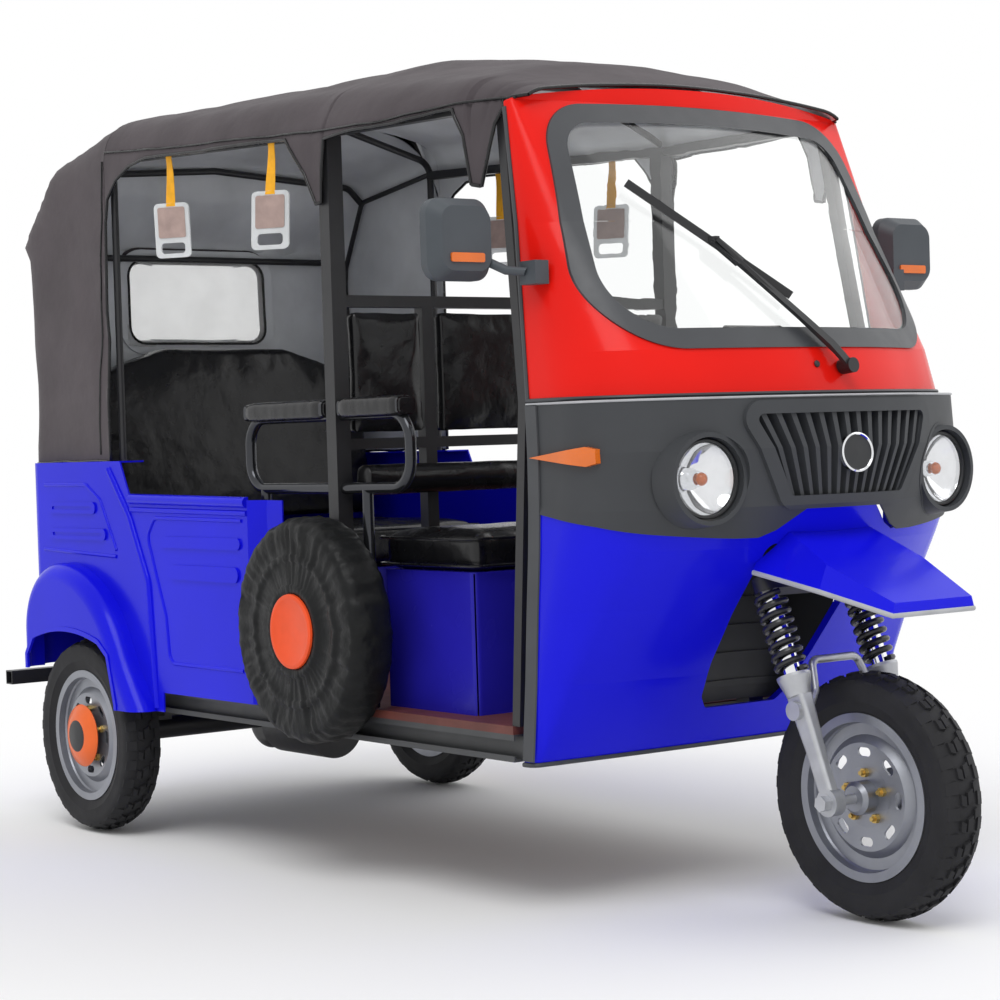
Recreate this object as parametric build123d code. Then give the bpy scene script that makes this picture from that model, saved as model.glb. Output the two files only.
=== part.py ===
from build123d import *
import math
import os

os.makedirs("parts", exist_ok=True)

# An electric auto rickshaw in millimetres: +X forward, +Y left, +Z up from the ground.
# Every X below is measured from the rear axle; the pieces are moved to mid-length when they are saved.

# Driving dimensions
WHEELBASE = 2200
TRACK_HALF = 530
TYRE_R = 245
TYRE_W = 100
RIM_R = 165
BEAD_R = 152
RAKE = 21.5
BODY_HALF = 540
FENDER_HALF = 600
SIDE_HALF = 500
BODY_REAR = -340
BODY_TOP = 938
FLOOR_Z = 390
SILL_TOP = 373
SILL_LOW = 318
SKIN = 4
BUMPER_X = -400
BUMPER_SIZE = 36
MID_X = (WHEELBASE + TYRE_R + BUMPER_X - BUMPER_SIZE / 2) / 2

AXLE_Z = TYRE_R
RUNNING_GAP = 0.08


# General shapes

def block(x, y, z):
    """A box from three (low, high) pairs."""
    sizes = [high - low for low, high in (x, y, z)]
    middle = [(low + high) / 2 for low, high in (x, y, z)]
    return Pos(*middle) * Box(*sizes)


def profile(points):
    """A face bounded by straight lines through 2-D points."""
    return make_face(Polyline(*points, close=True))


def side_cut(outline, low, high):
    """A face in (x, z), or one given by its corner points, extruded along Y from low to high."""
    face = profile(outline) if isinstance(outline, (tuple, list)) else outline
    return extrude(Plane.XZ.offset(-high) * face, amount=high - low)


def front_cut(face, low, high):
    """A face drawn in (y, z), extruded along X from low to high."""
    return extrude(Plane.YZ.offset(low) * face, amount=high - low)


def rod(points, radius, bend=0):
    """A round bar along a bent line."""
    line = FilletPolyline(*points, radius=bend) if bend else Polyline(*points)
    section = Plane(origin=line @ 0, z_dir=line % 0) * Circle(radius)
    return sweep(section, path=line)


def beam(start, end, width, height):
    """A square bar between two points, its height kept in the vertical plane."""
    along = Vector(*end) - Vector(*start)
    plane = Plane(origin=start, z_dir=along, x_dir=along.cross(Vector(0, 0, 1)))
    return extrude(plane * Rectangle(width, height), amount=along.length)


def both(shape):
    """The shape and its mirror image across the middle plane."""
    return [shape, mirror(shape, about=Plane.XZ)]


def merged(shapes):
    """One shape from several that touch or overlap."""
    first, *rest = shapes
    return first.fuse(*rest) if rest else first


# Cab nose: plan outlines at several heights, straight at the back and sides and bowed in front

# z, rear edge x, half-width, x where the bowed front meets the side, x of the front centre, corner radius
SHELL = (
    (1034, 1771, 498, 1954, 2116, 205),
    (1125, 1759, 493, 1926, 2088, 190),
    (1385, 1724, 477, 1792, 1922, 95),
    (1640, 1676, 462, 1693, 1742, 17),
    (1700, 1670, 458, 1688, 1733, 14),
)
BELT = (
    (725, 1768, 500, 1945, 2097, 185),
    (818, 1774, 502, 1976, 2147, 195),
    (930, 1777, 503, 1988, 2170, 195),
    (1030, 1772, 502, 1984, 2158, 195),
)
APRON = (
    (313, 1720, 494, 1748, 1760, 20),
    (475, 1738, 495, 1812, 1875, 60),
    (620, 1752, 497, 1878, 1990, 110),
    (737, 1764, 498, 1940, 2085, 160),
    (822, 1770, 499, 1975, 2138, 170),
)


def nose(stations, grow=0, back=0, over=0):
    """The solid nose through its stations, grown outwards, lengthened at the back and past both ends."""
    sections = []
    for place, (z, rear, half, knee, front, corner) in enumerate(stations):
        side = half + grow
        turn = knee + grow
        straight = Polyline((turn, side), (rear - back, side), (rear - back, -side), (turn, -side))
        bow = ThreePointArc((turn, -side), (front + grow, 0), (turn, side))
        face = make_face(straight + bow)
        corners = face.vertices().sort_by(Axis.X)[-2:]
        face = fillet(corners, max(corner + grow, 5))
        height = z - over if place == 0 else z + over if place == len(stations) - 1 else z
        sections.append(Pos(0, 0, height) * face)
    return loft(sections, ruled=True)


def nose_skin(stations, outside=0, inside=-SKIN):
    """The wall between two offsets of the nose, open at the back, top and bottom."""
    return nose(stations, outside) - nose(stations, inside, back=200, over=1)


def nose_x(stations, y, z):
    """The x of the bowed front at a height and a distance from the middle."""
    for low, high in zip(stations, stations[1:]):
        if z <= high[0]:
            break
    share = (z - low[0]) / (high[0] - low[0])
    half, knee, front = (low[i] + share * (high[i] - low[i]) for i in (2, 3, 4))
    sag = front - knee
    radius = (half ** 2 + sag ** 2) / (2 * sag)
    return front - radius + math.sqrt(radius ** 2 - y ** 2)


# Windscreen, as outlines seen from the front
SCREEN_LOW_HALF = 476
SCREEN_TOP_HALF = 402
SCREEN_LOW = 1126
SCREEN_TOP = 1630
SCREEN_BOW = 11
SCREEN_LOW_ROUND = 150
SCREEN_TOP_ROUND = 112
GASKET_W = 40
ROOF_EDGE = 1642
ROOF_CROWN = 1678


def screen_face(inset):
    """The windscreen outline: a trapezoid with a bowed top edge and round corners."""
    slope = (SCREEN_LOW_HALF - SCREEN_TOP_HALF) / (SCREEN_TOP - SCREEN_LOW)
    low = SCREEN_LOW + inset
    top = SCREEN_TOP - inset
    low_half = SCREEN_LOW_HALF - inset * (1 + slope)
    top_half = SCREEN_TOP_HALF - inset * (1 - slope)
    outline = [
        Line((-low_half, low), (low_half, low)),
        Line((low_half, low), (top_half, top)),
        ThreePointArc((top_half, top), (0, top + SCREEN_BOW), (-top_half, top)),
        Line((-top_half, top), (-low_half, low)),
    ]
    face = make_face(outline)
    face = fillet(face.vertices().sort_by(Axis.Y)[:2], SCREEN_LOW_ROUND - inset)
    return fillet(face.vertices().sort_by(Axis.Y)[-2:], SCREEN_TOP_ROUND - inset)


def roof_face(drop):
    """What lies under the roof arch of the cab, seen from the front."""
    half = 470 - drop
    edge = ROOF_EDGE - drop
    arch = ThreePointArc((half, edge), (0, ROOF_CROWN - drop), (-half, edge))
    walls = Polyline((-half, edge), (-half - 60, 1000), (half + 60, 1000), (half, edge))
    face = make_face(arch + walls)
    return fillet(face.vertices().sort_by(Axis.Y)[-2:], 36)


def front_shell():
    """The upper cab moulding, with its windscreen opening and a skin over the roof."""
    outside = nose(SHELL) & front_cut(roof_face(0), 1500, 2300)
    inside = nose(SHELL, -SKIN, back=200, over=1) & front_cut(roof_face(SKIN), 1300, 2300)
    return outside - inside - front_cut(screen_face(0), 1500, 2300)


def windscreen_gasket():
    band = front_cut(screen_face(0), 1500, 2300) - front_cut(screen_face(GASKET_W), 1490, 2310)
    return nose_skin(SHELL, 4, -8) & band


def windscreen():
    return nose_skin(SHELL, -1, -6) & front_cut(screen_face(GASKET_W), 1500, 2300)


# Belt moulding with grille, lamp pods and blinkers
LAMP_Y = 326
LAMP_Z = 875
LAMP_X = 2090
LAMP_R = 77
POD_R = 98
LAMP_YAW = 5
GRILLE = ((-235, 996), (235, 996), (150, 836), (-150, 836))
GRILLE_FINS = 14
BELT_SIDE_EDGE = ((1700, 820), (1780, 817), (1948, 789), (2080, 757), (2300, 749))
BELT_NOTCH = ((-204, 700), (-204, 752), (-158, 770), (-88, 820), (88, 820), (158, 770), (204, 752), (204, 700))


def lamp_place(sign):
    return Pos(LAMP_X, sign * LAMP_Y, LAMP_Z) * Rot(0, 0, sign * LAMP_YAW) * Rot(0, 90, 0)


def below_belt():
    """Everything under the belt's lower edge, which is also the apron's upper edge."""
    sides = side_cut(BELT_SIDE_EDGE + ((2300, 200), (1700, 200)), -700, 700)
    return sides + front_cut(profile(BELT_NOTCH), 1900, 2300)


def grille_slots(opening):
    """The gaps between the fins, which lean outwards with the grille's sides."""
    top_half, low_half = GRILLE[1][0], GRILLE[2][0]
    slots = []
    for place in range(GRILLE_FINS + 1):
        left, right = (max(-1, min(1, (place + step) / GRILLE_FINS * 2 - 1)) for step in (-0.32, 0.32))
        upper = [(side * top_half, 1010) for side in (left, right)]
        lower = [(side * low_half, 826) for side in (right, left)]
        slots.append(opening & profile(upper + lower))
    return slots


def front_belt():
    """The belt's skin with its top ledge and lamp pods, and a framed grille whose fins follow the nose."""
    skin = nose_skin(BELT) - below_belt()
    opening = fillet(profile(GRILLE).vertices(), 12)
    frame = nose_skin(BELT, 9) & front_cut(offset(opening, 26, kind=Kind.INTERSECTION) - opening, 1900, 2300)
    plate = nose_skin(BELT, 3, -22) & front_cut(offset(opening, 5), 1900, 2300)
    top = BELT[-1][0]
    foot = [(z,) + SHELL[0][1:] for z in (top - 10, top + 10)]
    ledge = (nose(BELT) & block((1700, 2300), (-600, 600), (top - 4, top))) - nose(foot, -12, back=200)
    whole = merged([skin - front_cut(opening, 1900, 2300), frame, plate, ledge])
    whole -= [front_cut(slot, 1900, 2300) for slot in grille_slots(opening)]
    for side in (-1, 1):
        whole -= lamp_place(side) * Cylinder(POD_R - 8, 160)
        pod = Pos(0, 0, -8) * (Cone(POD_R, POD_R - 9, 56) - Cylinder(LAMP_R + 3, 70))
        bowl = Pos(0, 0, 30) * (Cylinder(POD_R - 2, 120) - Cylinder(POD_R - 9, 130))
        whole += lamp_place(side) * pod - below_belt()
        whole += (lamp_place(side) * bowl) & nose(BELT, 1)
    return whole


def headlamps():
    lamps = []
    for sign in (-1, 1):
        bowl = Cone(40, LAMP_R, 36)
        lens = Pos(0, 0, 22) * Cylinder(LAMP_R, 8)
        lens = fillet(lens.edges().filter_by(GeomType.CIRCLE).sort_by(Axis.Z)[-1], 5)
        lamps.append(lamp_place(sign) * Pos(0, 0, -18) * (bowl + lens))
    return lamps


BLINKER = ((1788, 924), (1950, 943), (1972, 938), (1972, 911), (1950, 905))


def blinkers():
    shell = nose(BELT, 10) - nose(BELT, 0.3)
    return [shell & side_cut(BLINKER, *span) for span in ((-620, -300), (300, 620))]


# Apron, inner guard and beak
# The recess for the fork and wheel, seen from the front
RECESS = ((-150, 742), (-150, 600), (-140, 500), (-122, 424), (-98, 398),
          (98, 398), (122, 424), (140, 500), (150, 600), (150, 742))


def front_apron():
    """The lower front moulding, cut open round the fork and turned in along that opening."""
    recess = fillet(profile(RECESS).vertices(), 18)
    skin = nose_skin(APRON) & below_belt()
    lip = offset(recess, SKIN)
    rim = (nose(APRON) - nose(APRON, -20, back=200, over=1)) & front_cut(lip - recess, 1750, 2300)
    skin -= front_cut(lip, 1750, 2300)
    return merged([skin, rim & below_belt()])


GUARD_HALF = 161
GUARD_BACK = 1762
GUARD_SIDE = 1800
GUARD_TOP = 745
GUARD_LOW = 402
GUARD_RIBS = 6


def inner_mudguard():
    """A ribbed wall bent round the back of the fork, inside the recess."""
    def wall(thick):
        half, x_front, x_back = GUARD_HALF, GUARD_SIDE, GUARD_BACK
        return make_face(
            ThreePointArc((x_front, -half), (x_back, 0), (x_front, half))
            + Polyline((x_front, half), (x_front, half - thick))
            + ThreePointArc((x_front, half - thick), (x_back + thick, 0), (x_front, thick - half))
            + Polyline((x_front, thick - half), (x_front, -half))
        )

    pieces = [Pos(0, 0, GUARD_LOW) * extrude(wall(3), amount=GUARD_TOP - GUARD_LOW)]
    pitch = (GUARD_TOP - GUARD_LOW) / GUARD_RIBS
    for place in range(GUARD_RIBS):
        z = GUARD_LOW + (place + 0.5) * pitch
        pieces.append(Pos(0, 0, z) * extrude(wall(10), amount=14))
    side = ((GUARD_SIDE - 2, GUARD_LOW), (1868, GUARD_LOW), (1985, GUARD_TOP), (GUARD_SIDE - 2, GUARD_TOP))
    cheek = side_cut(side, GUARD_HALF - 3, GUARD_HALF)
    return merged(pieces + both(cheek)) & nose(APRON, -SKIN - 1.5, back=60)


# x, half-width at the rim, z of the rim, half-width of the top, z of the top
BEAK = (
    (2048, 168, 684, 104, 788),
    (2216, 154, 650, 134, 704),
    (2365, 112, 607, 106, 634),
)


def beak(drop, over=0):
    sections = []
    for place, (x, rim_half, rim_z, top_half, top_z) in enumerate(BEAK):
        low = rim_z - over
        points = ((-rim_half + drop, low), (-rim_half + drop, rim_z + 8), (-top_half + drop, top_z - drop),
                  (top_half - drop, top_z - drop), (rim_half - drop, rim_z + 8), (rim_half - drop, low))
        shift = -over if place == 0 else -drop if place == len(BEAK) - 1 else 0
        sections.append(Plane.YZ.offset(x + shift) * profile(points))
    return loft(sections, ruled=True)


def beak_fender():
    """The bill over the fork: an open-bottomed hood that grows out of the apron."""
    return beak(0) - beak(SKIN, over=20) - nose(APRON, 0.5, back=200)


# Dashboard, wiper and mirrors

def dashboard():
    inside = nose(BELT, -SKIN - 2, over=-2)
    shelf = inside & block((2005, 2300), (-600, 600), (1016, 1022))
    fascia = inside & block((2005, 2010), (-600, 600), (905, 1022))
    return merged([shelf, fascia])


# Wiper points as (y, z) on the glass, seen from the front
WIPER_PIVOT = (36, 1084)
WIPER_ELBOW = (-167, 1345)
BLADE_TOP = (-296, 1463)
BLADE_LOW = (-40, 1230)


def on_glass(point, lift):
    y, z = point
    return (nose_x(SHELL, y, z) + lift, y, z)


def wiper():
    pivot = on_glass(WIPER_PIVOT, -6)
    knob = Plane(origin=pivot, z_dir=(1, 0, 0.1)) * Pos(0, 0, 22) * Cylinder(15, 44)
    arm = beam(on_glass(WIPER_PIVOT, 30), on_glass(WIPER_ELBOW, 38), 12, 7)
    blade = beam(on_glass(BLADE_TOP, 24), on_glass(BLADE_LOW, 24), 10, 16)
    link = beam(on_glass(WIPER_ELBOW, 20), on_glass(WIPER_ELBOW, 40), 12, 12)
    return merged([knob, arm, blade, link]) - nose(SHELL, 4.5)


MIRROR = (1731, 612, 1353)
MIRROR_FOOT = (1800, 503, 1285)


def mirror_piece(sign):
    """A rounded mirror head on a bent arm that bolts to the side of the shell."""
    x, y, z = MIRROR
    sections = []
    # x offset, width, height, corner radius
    for dx, width, height, corner in ((-26, 150, 160, 34), (-6, 150, 160, 34), (24, 118, 126, 30)):
        sections.append(Plane.YZ.offset(x + dx) * Pos(y + 10, z) * RectangleRounded(width, height, corner))
    head = loft(sections, ruled=True)
    arm = rod(((x, y - 50, z - 40), (x + 40, y - 72, z - 62), (MIRROR_FOOT[0], MIRROR_FOOT[1] + 10, 1287)), 9)
    foot = block((1780, 1830), (482, MIRROR_FOOT[1] + 12), (1262, 1308)) - nose(SHELL, 0.2, back=50)
    whole = merged([head, arm, foot])
    return whole if sign > 0 else mirror(whole, about=Plane.XZ)


# Chassis, floor, axle and springs
RAIL_Y = 300
RAIL_W = 50
KICK_LOW = 436
KICK_TOP = 486
TOW_X = -370
TOW_R = 11
HUB_R = 33
SPINDLE_R = 15
AXLE_END = 447
SPRING_Y = 372
SPRING_HALF = 310
SPRING_RISE = 36
EYE_Z = AXLE_Z + 103
STEM_R = 20


def chassis_frame():
    """Two kicked-up rails, outer sill channels, cross-members, the front tower and the head tube."""
    outline = ((1700, SILL_LOW), (1700, SILL_TOP), (270, SILL_TOP), (170, KICK_TOP), (-330, KICK_TOP),
               (-330, KICK_LOW), (150, KICK_LOW), (245, SILL_LOW))
    sill = block((248, 1700), (474, 503), (SILL_LOW, SILL_TOP))
    sill -= block((240, 1710), (480, 510), (SILL_LOW + 4, SILL_TOP - 4))
    sill += block((248, 1700), (499, 503), (SILL_LOW + 4, SILL_LOW + 12))
    sill += block((248, 1700), (499, 503), (SILL_TOP - 12, SILL_TOP - 4))
    half_frame = [
        sill,
        side_cut(outline, RAIL_Y - RAIL_W / 2, RAIL_Y + RAIL_W / 2),
        block((BUMPER_X - 12, -326), (RAIL_Y - 20, RAIL_Y + 20), (352, 386)),
        block((-336, -320), (RAIL_Y - 20, RAIL_Y + 20), (352, KICK_TOP)),
        block((1700, 1740), (100, 140), (SILL_LOW, 830)),
    ]
    pieces = [piece for shape in half_frame for piece in both(shape)]
    for x in (350, 700, 1200, 1680):
        pieces.append(block((x - 20, x + 20), (-476, 476), (SILL_LOW + 8, SILL_TOP - 6)))
    for x, half in ((-300, SPRING_Y + 29), (140, RAIL_Y)):
        pieces.append(block((x - 20, x + 20), (-half, half), (KICK_LOW + 4, KICK_TOP - 4)))
    for sign in (-1, 1):
        for y in (sign * (SPRING_Y - 27.5), sign * (SPRING_Y + 27.5)):
            pieces.append(block((-326, -294), (y - 2, y + 2), (EYE_Z - 16, KICK_LOW + 8)))
            pieces.append(block((290, 332), (y - 2, y + 2), (EYE_Z - 16, SILL_TOP - 6)))
    pieces.append(block((1700, 1960), (-140, 140), (800, 830)) - steer(Cylinder(40, 400), 600))
    head = Cylinder(32, 150) - Cylinder(STEM_R + RUNNING_GAP, 160)
    web = block((1900, 1985), (-60, 60), (800, 830)) - steer(Cylinder(31, 400), 600)
    tow = block((-330, -300), (-35, 35), (300, 445)) + block((-395, -320), (-35, 35), (300, 312))
    tow = fillet(tow.edges().filter_by(Axis.Z).sort_by(Axis.X)[:2], 20)
    tow -= Pos(TOW_X, 0, 306) * Cylinder(TOW_R, 40)
    return merged(pieces + [steer(head, 628), web, tow])


def floor_plate():
    """A ribbed sheet on the sills, from the rear box to the toe board."""
    sheet = block((268, 1698), (-503, 503), (FLOOR_Z - 3, FLOOR_Z))
    edges = both(block((268, 1698), (474, 503), (SILL_TOP, FLOOR_Z - 3)))
    ribs = [block((x - 20, x + 20), (-440, 440), (SILL_TOP, FLOOR_Z - 3)) for x in range(420, 1600, 180)]
    return merged([sheet] + edges + ribs)


def rear_axle():
    """The beam with its differential, motor block, brake plates and spindles."""
    def across(radius, low, high):
        return Pos(0, (low + high) / 2, AXLE_Z) * Rot(90, 0, 0) * Cylinder(radius, high - low)

    case = Pos(0, 0, AXLE_Z) * Rot(90, 0, 0) * Cylinder(88, 96)
    case = fillet(case.edges().filter_by(GeomType.CIRCLE), 30)
    motor = Pos(170, 0, AXLE_Z - 10) * Rot(0, 90, 0) * Cylinder(84, 230)
    neck = Pos(70, 0, AXLE_Z - 6) * Rot(0, 90, 0) * Cylinder(50, 90)
    pieces = [across(30, -AXLE_END, AXLE_END), case, neck, motor]
    for sign in (-1, 1):
        plate = sorted((sign * (AXLE_END - 6), sign * AXLE_END))
        spindle = sorted((sign * AXLE_END, sign * 556))
        pieces.append(across(92, *plate))
        pieces.append(across(SPINDLE_R, *spindle))
    return merged(pieces)


# half-length of a leaf, how far its back lies below the main leaf's
LEAVES = ((310, 0), (235, 9), (165, 18), (100, 27))


def leaf_springs():
    """Two packs of four arched leaves over the axle tube, with eyes, hangers and clamps."""
    packs = []
    for sign in (-1, 1):
        leaves = []
        for half, drop in LEAVES:
            rise = SPRING_RISE * (half / SPRING_HALF) ** 2
            low = AXLE_Z + 62 - drop
            face = make_face(
                ThreePointArc((-half, low + rise), (0, low), (half, low + rise))
                + Line((half, low + rise), (half, low + rise + 9))
                + ThreePointArc((half, low + rise + 9), (0, low + 9), (-half, low + rise + 9))
                + Line((-half, low + rise + 9), (-half, low + rise))
            )
            leaves.append(extrude(Plane.XZ.offset(-sign * SPRING_Y - 25) * face, amount=50))
        clamp = block((-34, 34), (-32, 32), (AXLE_Z + 22, AXLE_Z + 74))
        leaves.append(Pos(0, sign * SPRING_Y, 0) * clamp)
        for x in (-SPRING_HALF, SPRING_HALF):
            leaves.append(Pos(x, sign * SPRING_Y, EYE_Z) * Rot(90, 0, 0) * Cylinder(14, 50))
        packs.append(merged(leaves) - rear_axle())
    return packs


def rear_bumper():
    """A square tube across the back, carried by the two frame brackets."""
    half = BUMPER_SIZE / 2
    tube = block((BUMPER_X - half, BUMPER_X + half), (-585, 585), (351, 387))
    tube -= block((BUMPER_X - half + 3, BUMPER_X + half - 3), (-590, 590), (354, 384))
    return tube - chassis_frame()


# Wheels

def tyre(x, y):
    """A tyre ring: round shoulders, a bowed crown and beads that seat on the rim."""
    half = TYRE_W / 2
    ring = make_face(
        Line((-37, BEAD_R), (37, BEAD_R))
        + Line((37, BEAD_R), (37, RIM_R))
        + ThreePointArc((37, RIM_R), (half, 203), (half - 8, TYRE_R - 12))
        + ThreePointArc((half - 8, TYRE_R - 12), (0, TYRE_R), (8 - half, TYRE_R - 12))
        + ThreePointArc((8 - half, TYRE_R - 12), (-half, 203), (-37, RIM_R))
        + Line((-37, RIM_R), (-37, BEAD_R))
    )
    return Pos(x, y, AXLE_Z) * revolve(Plane.YZ * ring, Axis.Y)


def rim(x, y, out, bore, boss_end, inner_end):
    """A pressed wheel: a dropped barrel, a dished disc with oval holes, and a hub on its bore."""
    barrel = [(-41, RIM_R), (-37, RIM_R), (-37, BEAD_R), (37, BEAD_R), (37, RIM_R), (41, RIM_R),
              (41, BEAD_R - 5), (24, BEAD_R - 6), (20, BEAD_R - 9), (-20, BEAD_R - 9), (-24, BEAD_R - 6),
              (-41, BEAD_R - 5)]
    disc = [(20, BEAD_R - 6), (8, BEAD_R - 6), (12, 120), (26, 106), (22, 60), (22, HUB_R - 4),
            (27, HUB_R - 4), (27, 60), (31, 106), (17, 121)]
    hub = [(inner_end, bore), (inner_end, HUB_R + 16), (inner_end + 10, HUB_R + 16), (inner_end + 14, HUB_R),
           (boss_end - 8, HUB_R), (boss_end, HUB_R - 8), (boss_end, bore)]
    whole = merged([revolve(Plane.YZ * profile(points), Axis.Y) for points in (barrel, disc, hub)])
    for place in range(8):
        slot = extrude(SlotOverall(34, 18), 30, both=True)
        hole = Rot(0, place * 45, 0) * Pos(0, 20, 88) * Rot(90, 0, 0) * slot
        whole -= hole
    whole = whole if out > 0 else mirror(whole, about=Plane.XZ)
    return Pos(x, y, AXLE_Z) * whole


def rear_rim(sign):
    wheel = rim(0, sign * TRACK_HALF, sign, SPINDLE_R + RUNNING_GAP, 44, -70)
    drum_ring = Cylinder(100, 44) - Cylinder(90, 60)
    drum_wall = Cylinder(100, 5) - Cylinder(30, 9)
    drum = Rot(90, 0, 0) * drum_ring + Pos(0, sign * 20, 0) * Rot(90, 0, 0) * drum_wall
    cap = Pos(0, sign * 46, 0) * Rot(90, 0, 0) * Cylinder(45, 20)
    centre = Pos(0, sign * TRACK_HALF, AXLE_Z)
    return merged([wheel, Pos(0, sign * (TRACK_HALF - 54), AXLE_Z) * drum, centre * cap])


def rim_front():
    return rim(WHEELBASE, 0, -1, AXLE_R + RUNNING_GAP, 62, -62)


# Steering, drawn along its own axis from the front axle upwards
AXLE_R = 10
LEG_Y = 122
SPRING_LOW = 258
SPRING_TOP = 430
COIL_TURNS = 8
COIL_R = 28
WIRE_R = 6
CLAMP_TOP = 460
STEM_TOP = 880


def steer(shape, along=0, y=0):
    """Move a shape drawn at the origin to a distance along the raked steering axis."""
    return Pos(WHEELBASE, 0, AXLE_Z) * Rot(0, -RAKE, 0) * Pos(0, y, along) * shape


def fork_legs():
    """The cast lower legs with bosses and cups, the front axle between them and the brace over the tyre."""
    pieces = [Pos(WHEELBASE, 0, AXLE_Z) * Rot(90, 0, 0) * Cylinder(AXLE_R, 2 * LEG_Y + 44)]
    # out to the side, up along the steering axis
    brace = ((-108, 186), (-76, 222), (-62, 284), (62, 284), (76, 222), (108, 186))
    pieces.append(steer(rod([(0, y, s) for y, s in brace], 8, 18)))
    # distance along the axis, length of the section, width across
    stations = ((8, 36, 24), (110, 38, 26), (215, 46, 34))
    for sign in (-1, 1):
        sections = [Pos(0, 0, s) * RectangleRounded(length, width, 8) for s, length, width in stations]
        bar = loft(sections, ruled=True)
        cup = Pos(0, 0, 234) * Cone(24, 34, 38) + Pos(0, 0, 255) * Cylinder(34, 6)
        eye = Rot(90, 0, 0) * Cylinder(27, 26)
        boss = Pos(-4, sign * 19, 188) * Rot(90, 0, 0) * Cylinder(19, 14)
        nut = Pos(0, sign * 22, 0) * Rot(90, 0, 0) * extrude(RegularPolygon(16, 6), 9, both=True)
        pieces.append(steer(merged([bar, cup, eye, boss, nut]), 0, sign * LEG_Y))
    return merged(pieces)


def fork_springs():
    """A damper tube inside a free coil on each leg."""
    height = SPRING_TOP - SPRING_LOW - 2 * WIRE_R - 1
    tube = Pos(0, 0, (SPRING_LOW + SPRING_TOP) / 2) * Cylinder(18, SPRING_TOP - SPRING_LOW)
    turns = Helix(height / COIL_TURNS, height, COIL_R)
    wire = sweep(Plane(origin=turns @ 0, z_dir=turns % 0) * Circle(WIRE_R), path=turns, is_frenet=True)
    coil = Pos(0, 0, SPRING_LOW + WIRE_R + 0.5) * wire
    return [steer(shape, 0, sign * LEG_Y) for sign in (-1, 1) for shape in (tube, coil)]


def fork_clamp():
    """The lower yoke over the springs and the stem that turns in the head tube."""
    middle = (SPRING_TOP + CLAMP_TOP) / 2
    yoke = Pos(0, 0, middle) * Box(56, 2 * LEG_Y, CLAMP_TOP - SPRING_TOP)
    ends = [Pos(0, sign * LEG_Y, middle) * Cylinder(28, CLAMP_TOP - SPRING_TOP) for sign in (-1, 1)]
    stem = Pos(0, 0, (CLAMP_TOP + STEM_TOP) / 2) * Cylinder(STEM_R, STEM_TOP - CLAMP_TOP)
    return steer(merged([yoke] + ends + [stem]))


GRIP_R = 16
# back from the stem, out to the side, up along the stem
BAR_ROUTE = ((0, 0, 0), (0, 70, 0), (-50, 190, 60), (-150, 330, 40))


def handlebar():
    """A swept bar clamped on the stem, with grips and the instrument pod between them."""
    centre = Pos(0, 0, STEM_TOP + 22) * Box(52, 60, 44)
    pod = Pos(24, 0, STEM_TOP + 66) * Rot(0, -30, 0) * Box(90, 150, 46)
    pieces = [centre, fillet(pod.edges().filter_by(Axis.Y), 12)]
    for sign in (-1, 1):
        route = [(x, sign * y, z) for x, y, z in BAR_ROUTE]
        pieces.append(Pos(0, 0, STEM_TOP + 22) * rod(route, 11, 30))
        last, end = Vector(*route[-2]), Vector(*route[-1])
        along = (end - last).normalized()
        start = end - along * 125
        grip = extrude(Plane(origin=start, z_dir=along) * Circle(GRIP_R), amount=128)
        pieces.append(Pos(0, 0, STEM_TOP + 22) * grip)
    return steer(merged(pieces))


# Upper frame and canopy
B_PILLAR = 1071
REAR_BOW = 100
HEM_RAIL_Y = 482
# x, virtual corner z at the eaves, crown z, half-width
ROOF = (
    (-420, 1650, 1700, 520),
    (-250, 1700, 1742, 516),
    (100, 1765, 1840, 520),
    (800, 1709, 1838, 514),
    (1150, 1694, 1825, 508),
    (1560, 1688, 1752, 490),
    (1752, 1664, 1694, 470),
)
REAR_WALL = ((-345, 941), (-352, 1219), (-364, 1490), (-384, 1508), (-262, 1655), (-250, 1900))
HEM = ((98, 942), (100, 1538), (117, 1592), (165, 1637), (226, 1665), (313, 1675), (466, 1668), (852, 1652),
       (936, 1645), (1014, 1560), (1050, 1492), (1074, 1492), (1068, 1560), (1056, 1600), (1087, 1630),
       (1177, 1634), (1349, 1630), (1494, 1637), (1540, 1636), (1572, 1580), (1594, 1478), (1622, 1472),
       (1645, 1544), (1680, 1650), (1760, 1655), (1760, 900), (98, 900))
WINDOW = (-212, 218, 1256, 1484)
CLOTH = 4


def roof_block(drop, ends=0):
    """The solid under the canopy: upright sides, round eaves and an arched roof, widest at the back."""
    sections = []
    for place, (x, eave, crown, half) in enumerate(ROOF):
        side = half - drop
        low = 941 - ends
        walls = Polyline((side, eave - drop), (side, low), (-side, low), (-side, eave - drop))
        arch = ThreePointArc((-side, eave - drop), (0, crown - drop), (side, eave - drop))
        face = make_face(walls + arch)
        face = fillet(face.vertices().sort_by(Axis.Y)[-2:], 62 - drop)
        shift = -ends if place == 0 else ends if place == len(ROOF) - 1 else 0
        sections.append(Plane.YZ.offset(x + shift) * face)
    return loft(sections, ruled=True)


def rear_slope(inset):
    """What lies in front of the sloping rear wall, drawn from the side."""
    points = [(x + inset, z) for x, z in REAR_WALL]
    outline = [(2000, 900), (points[0][0], 900)] + points + [(points[-1][0], 2000), (2000, 2000)]
    return side_cut(outline, -600, 600)


def window_face(inset):
    low_y, high_y, low_z, high_z = WINDOW
    width, height = high_y - low_y - 2 * inset, high_z - low_z - 2 * inset
    return Pos((low_y + high_y) / 2, (low_z + high_z) / 2) * RectangleRounded(width, height, 44 - inset)


def canopy():
    """One cloth skin over the bows: roof, rear wall with its window, and the two rear quarters."""
    outside = roof_block(0) & rear_slope(0)
    inside = roof_block(CLOTH, ends=30) & rear_slope(CLOTH)
    skin = outside - inside
    skin -= side_cut(HEM, -700, 700)
    return skin - front_cut(window_face(0), -500, -200)


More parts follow.
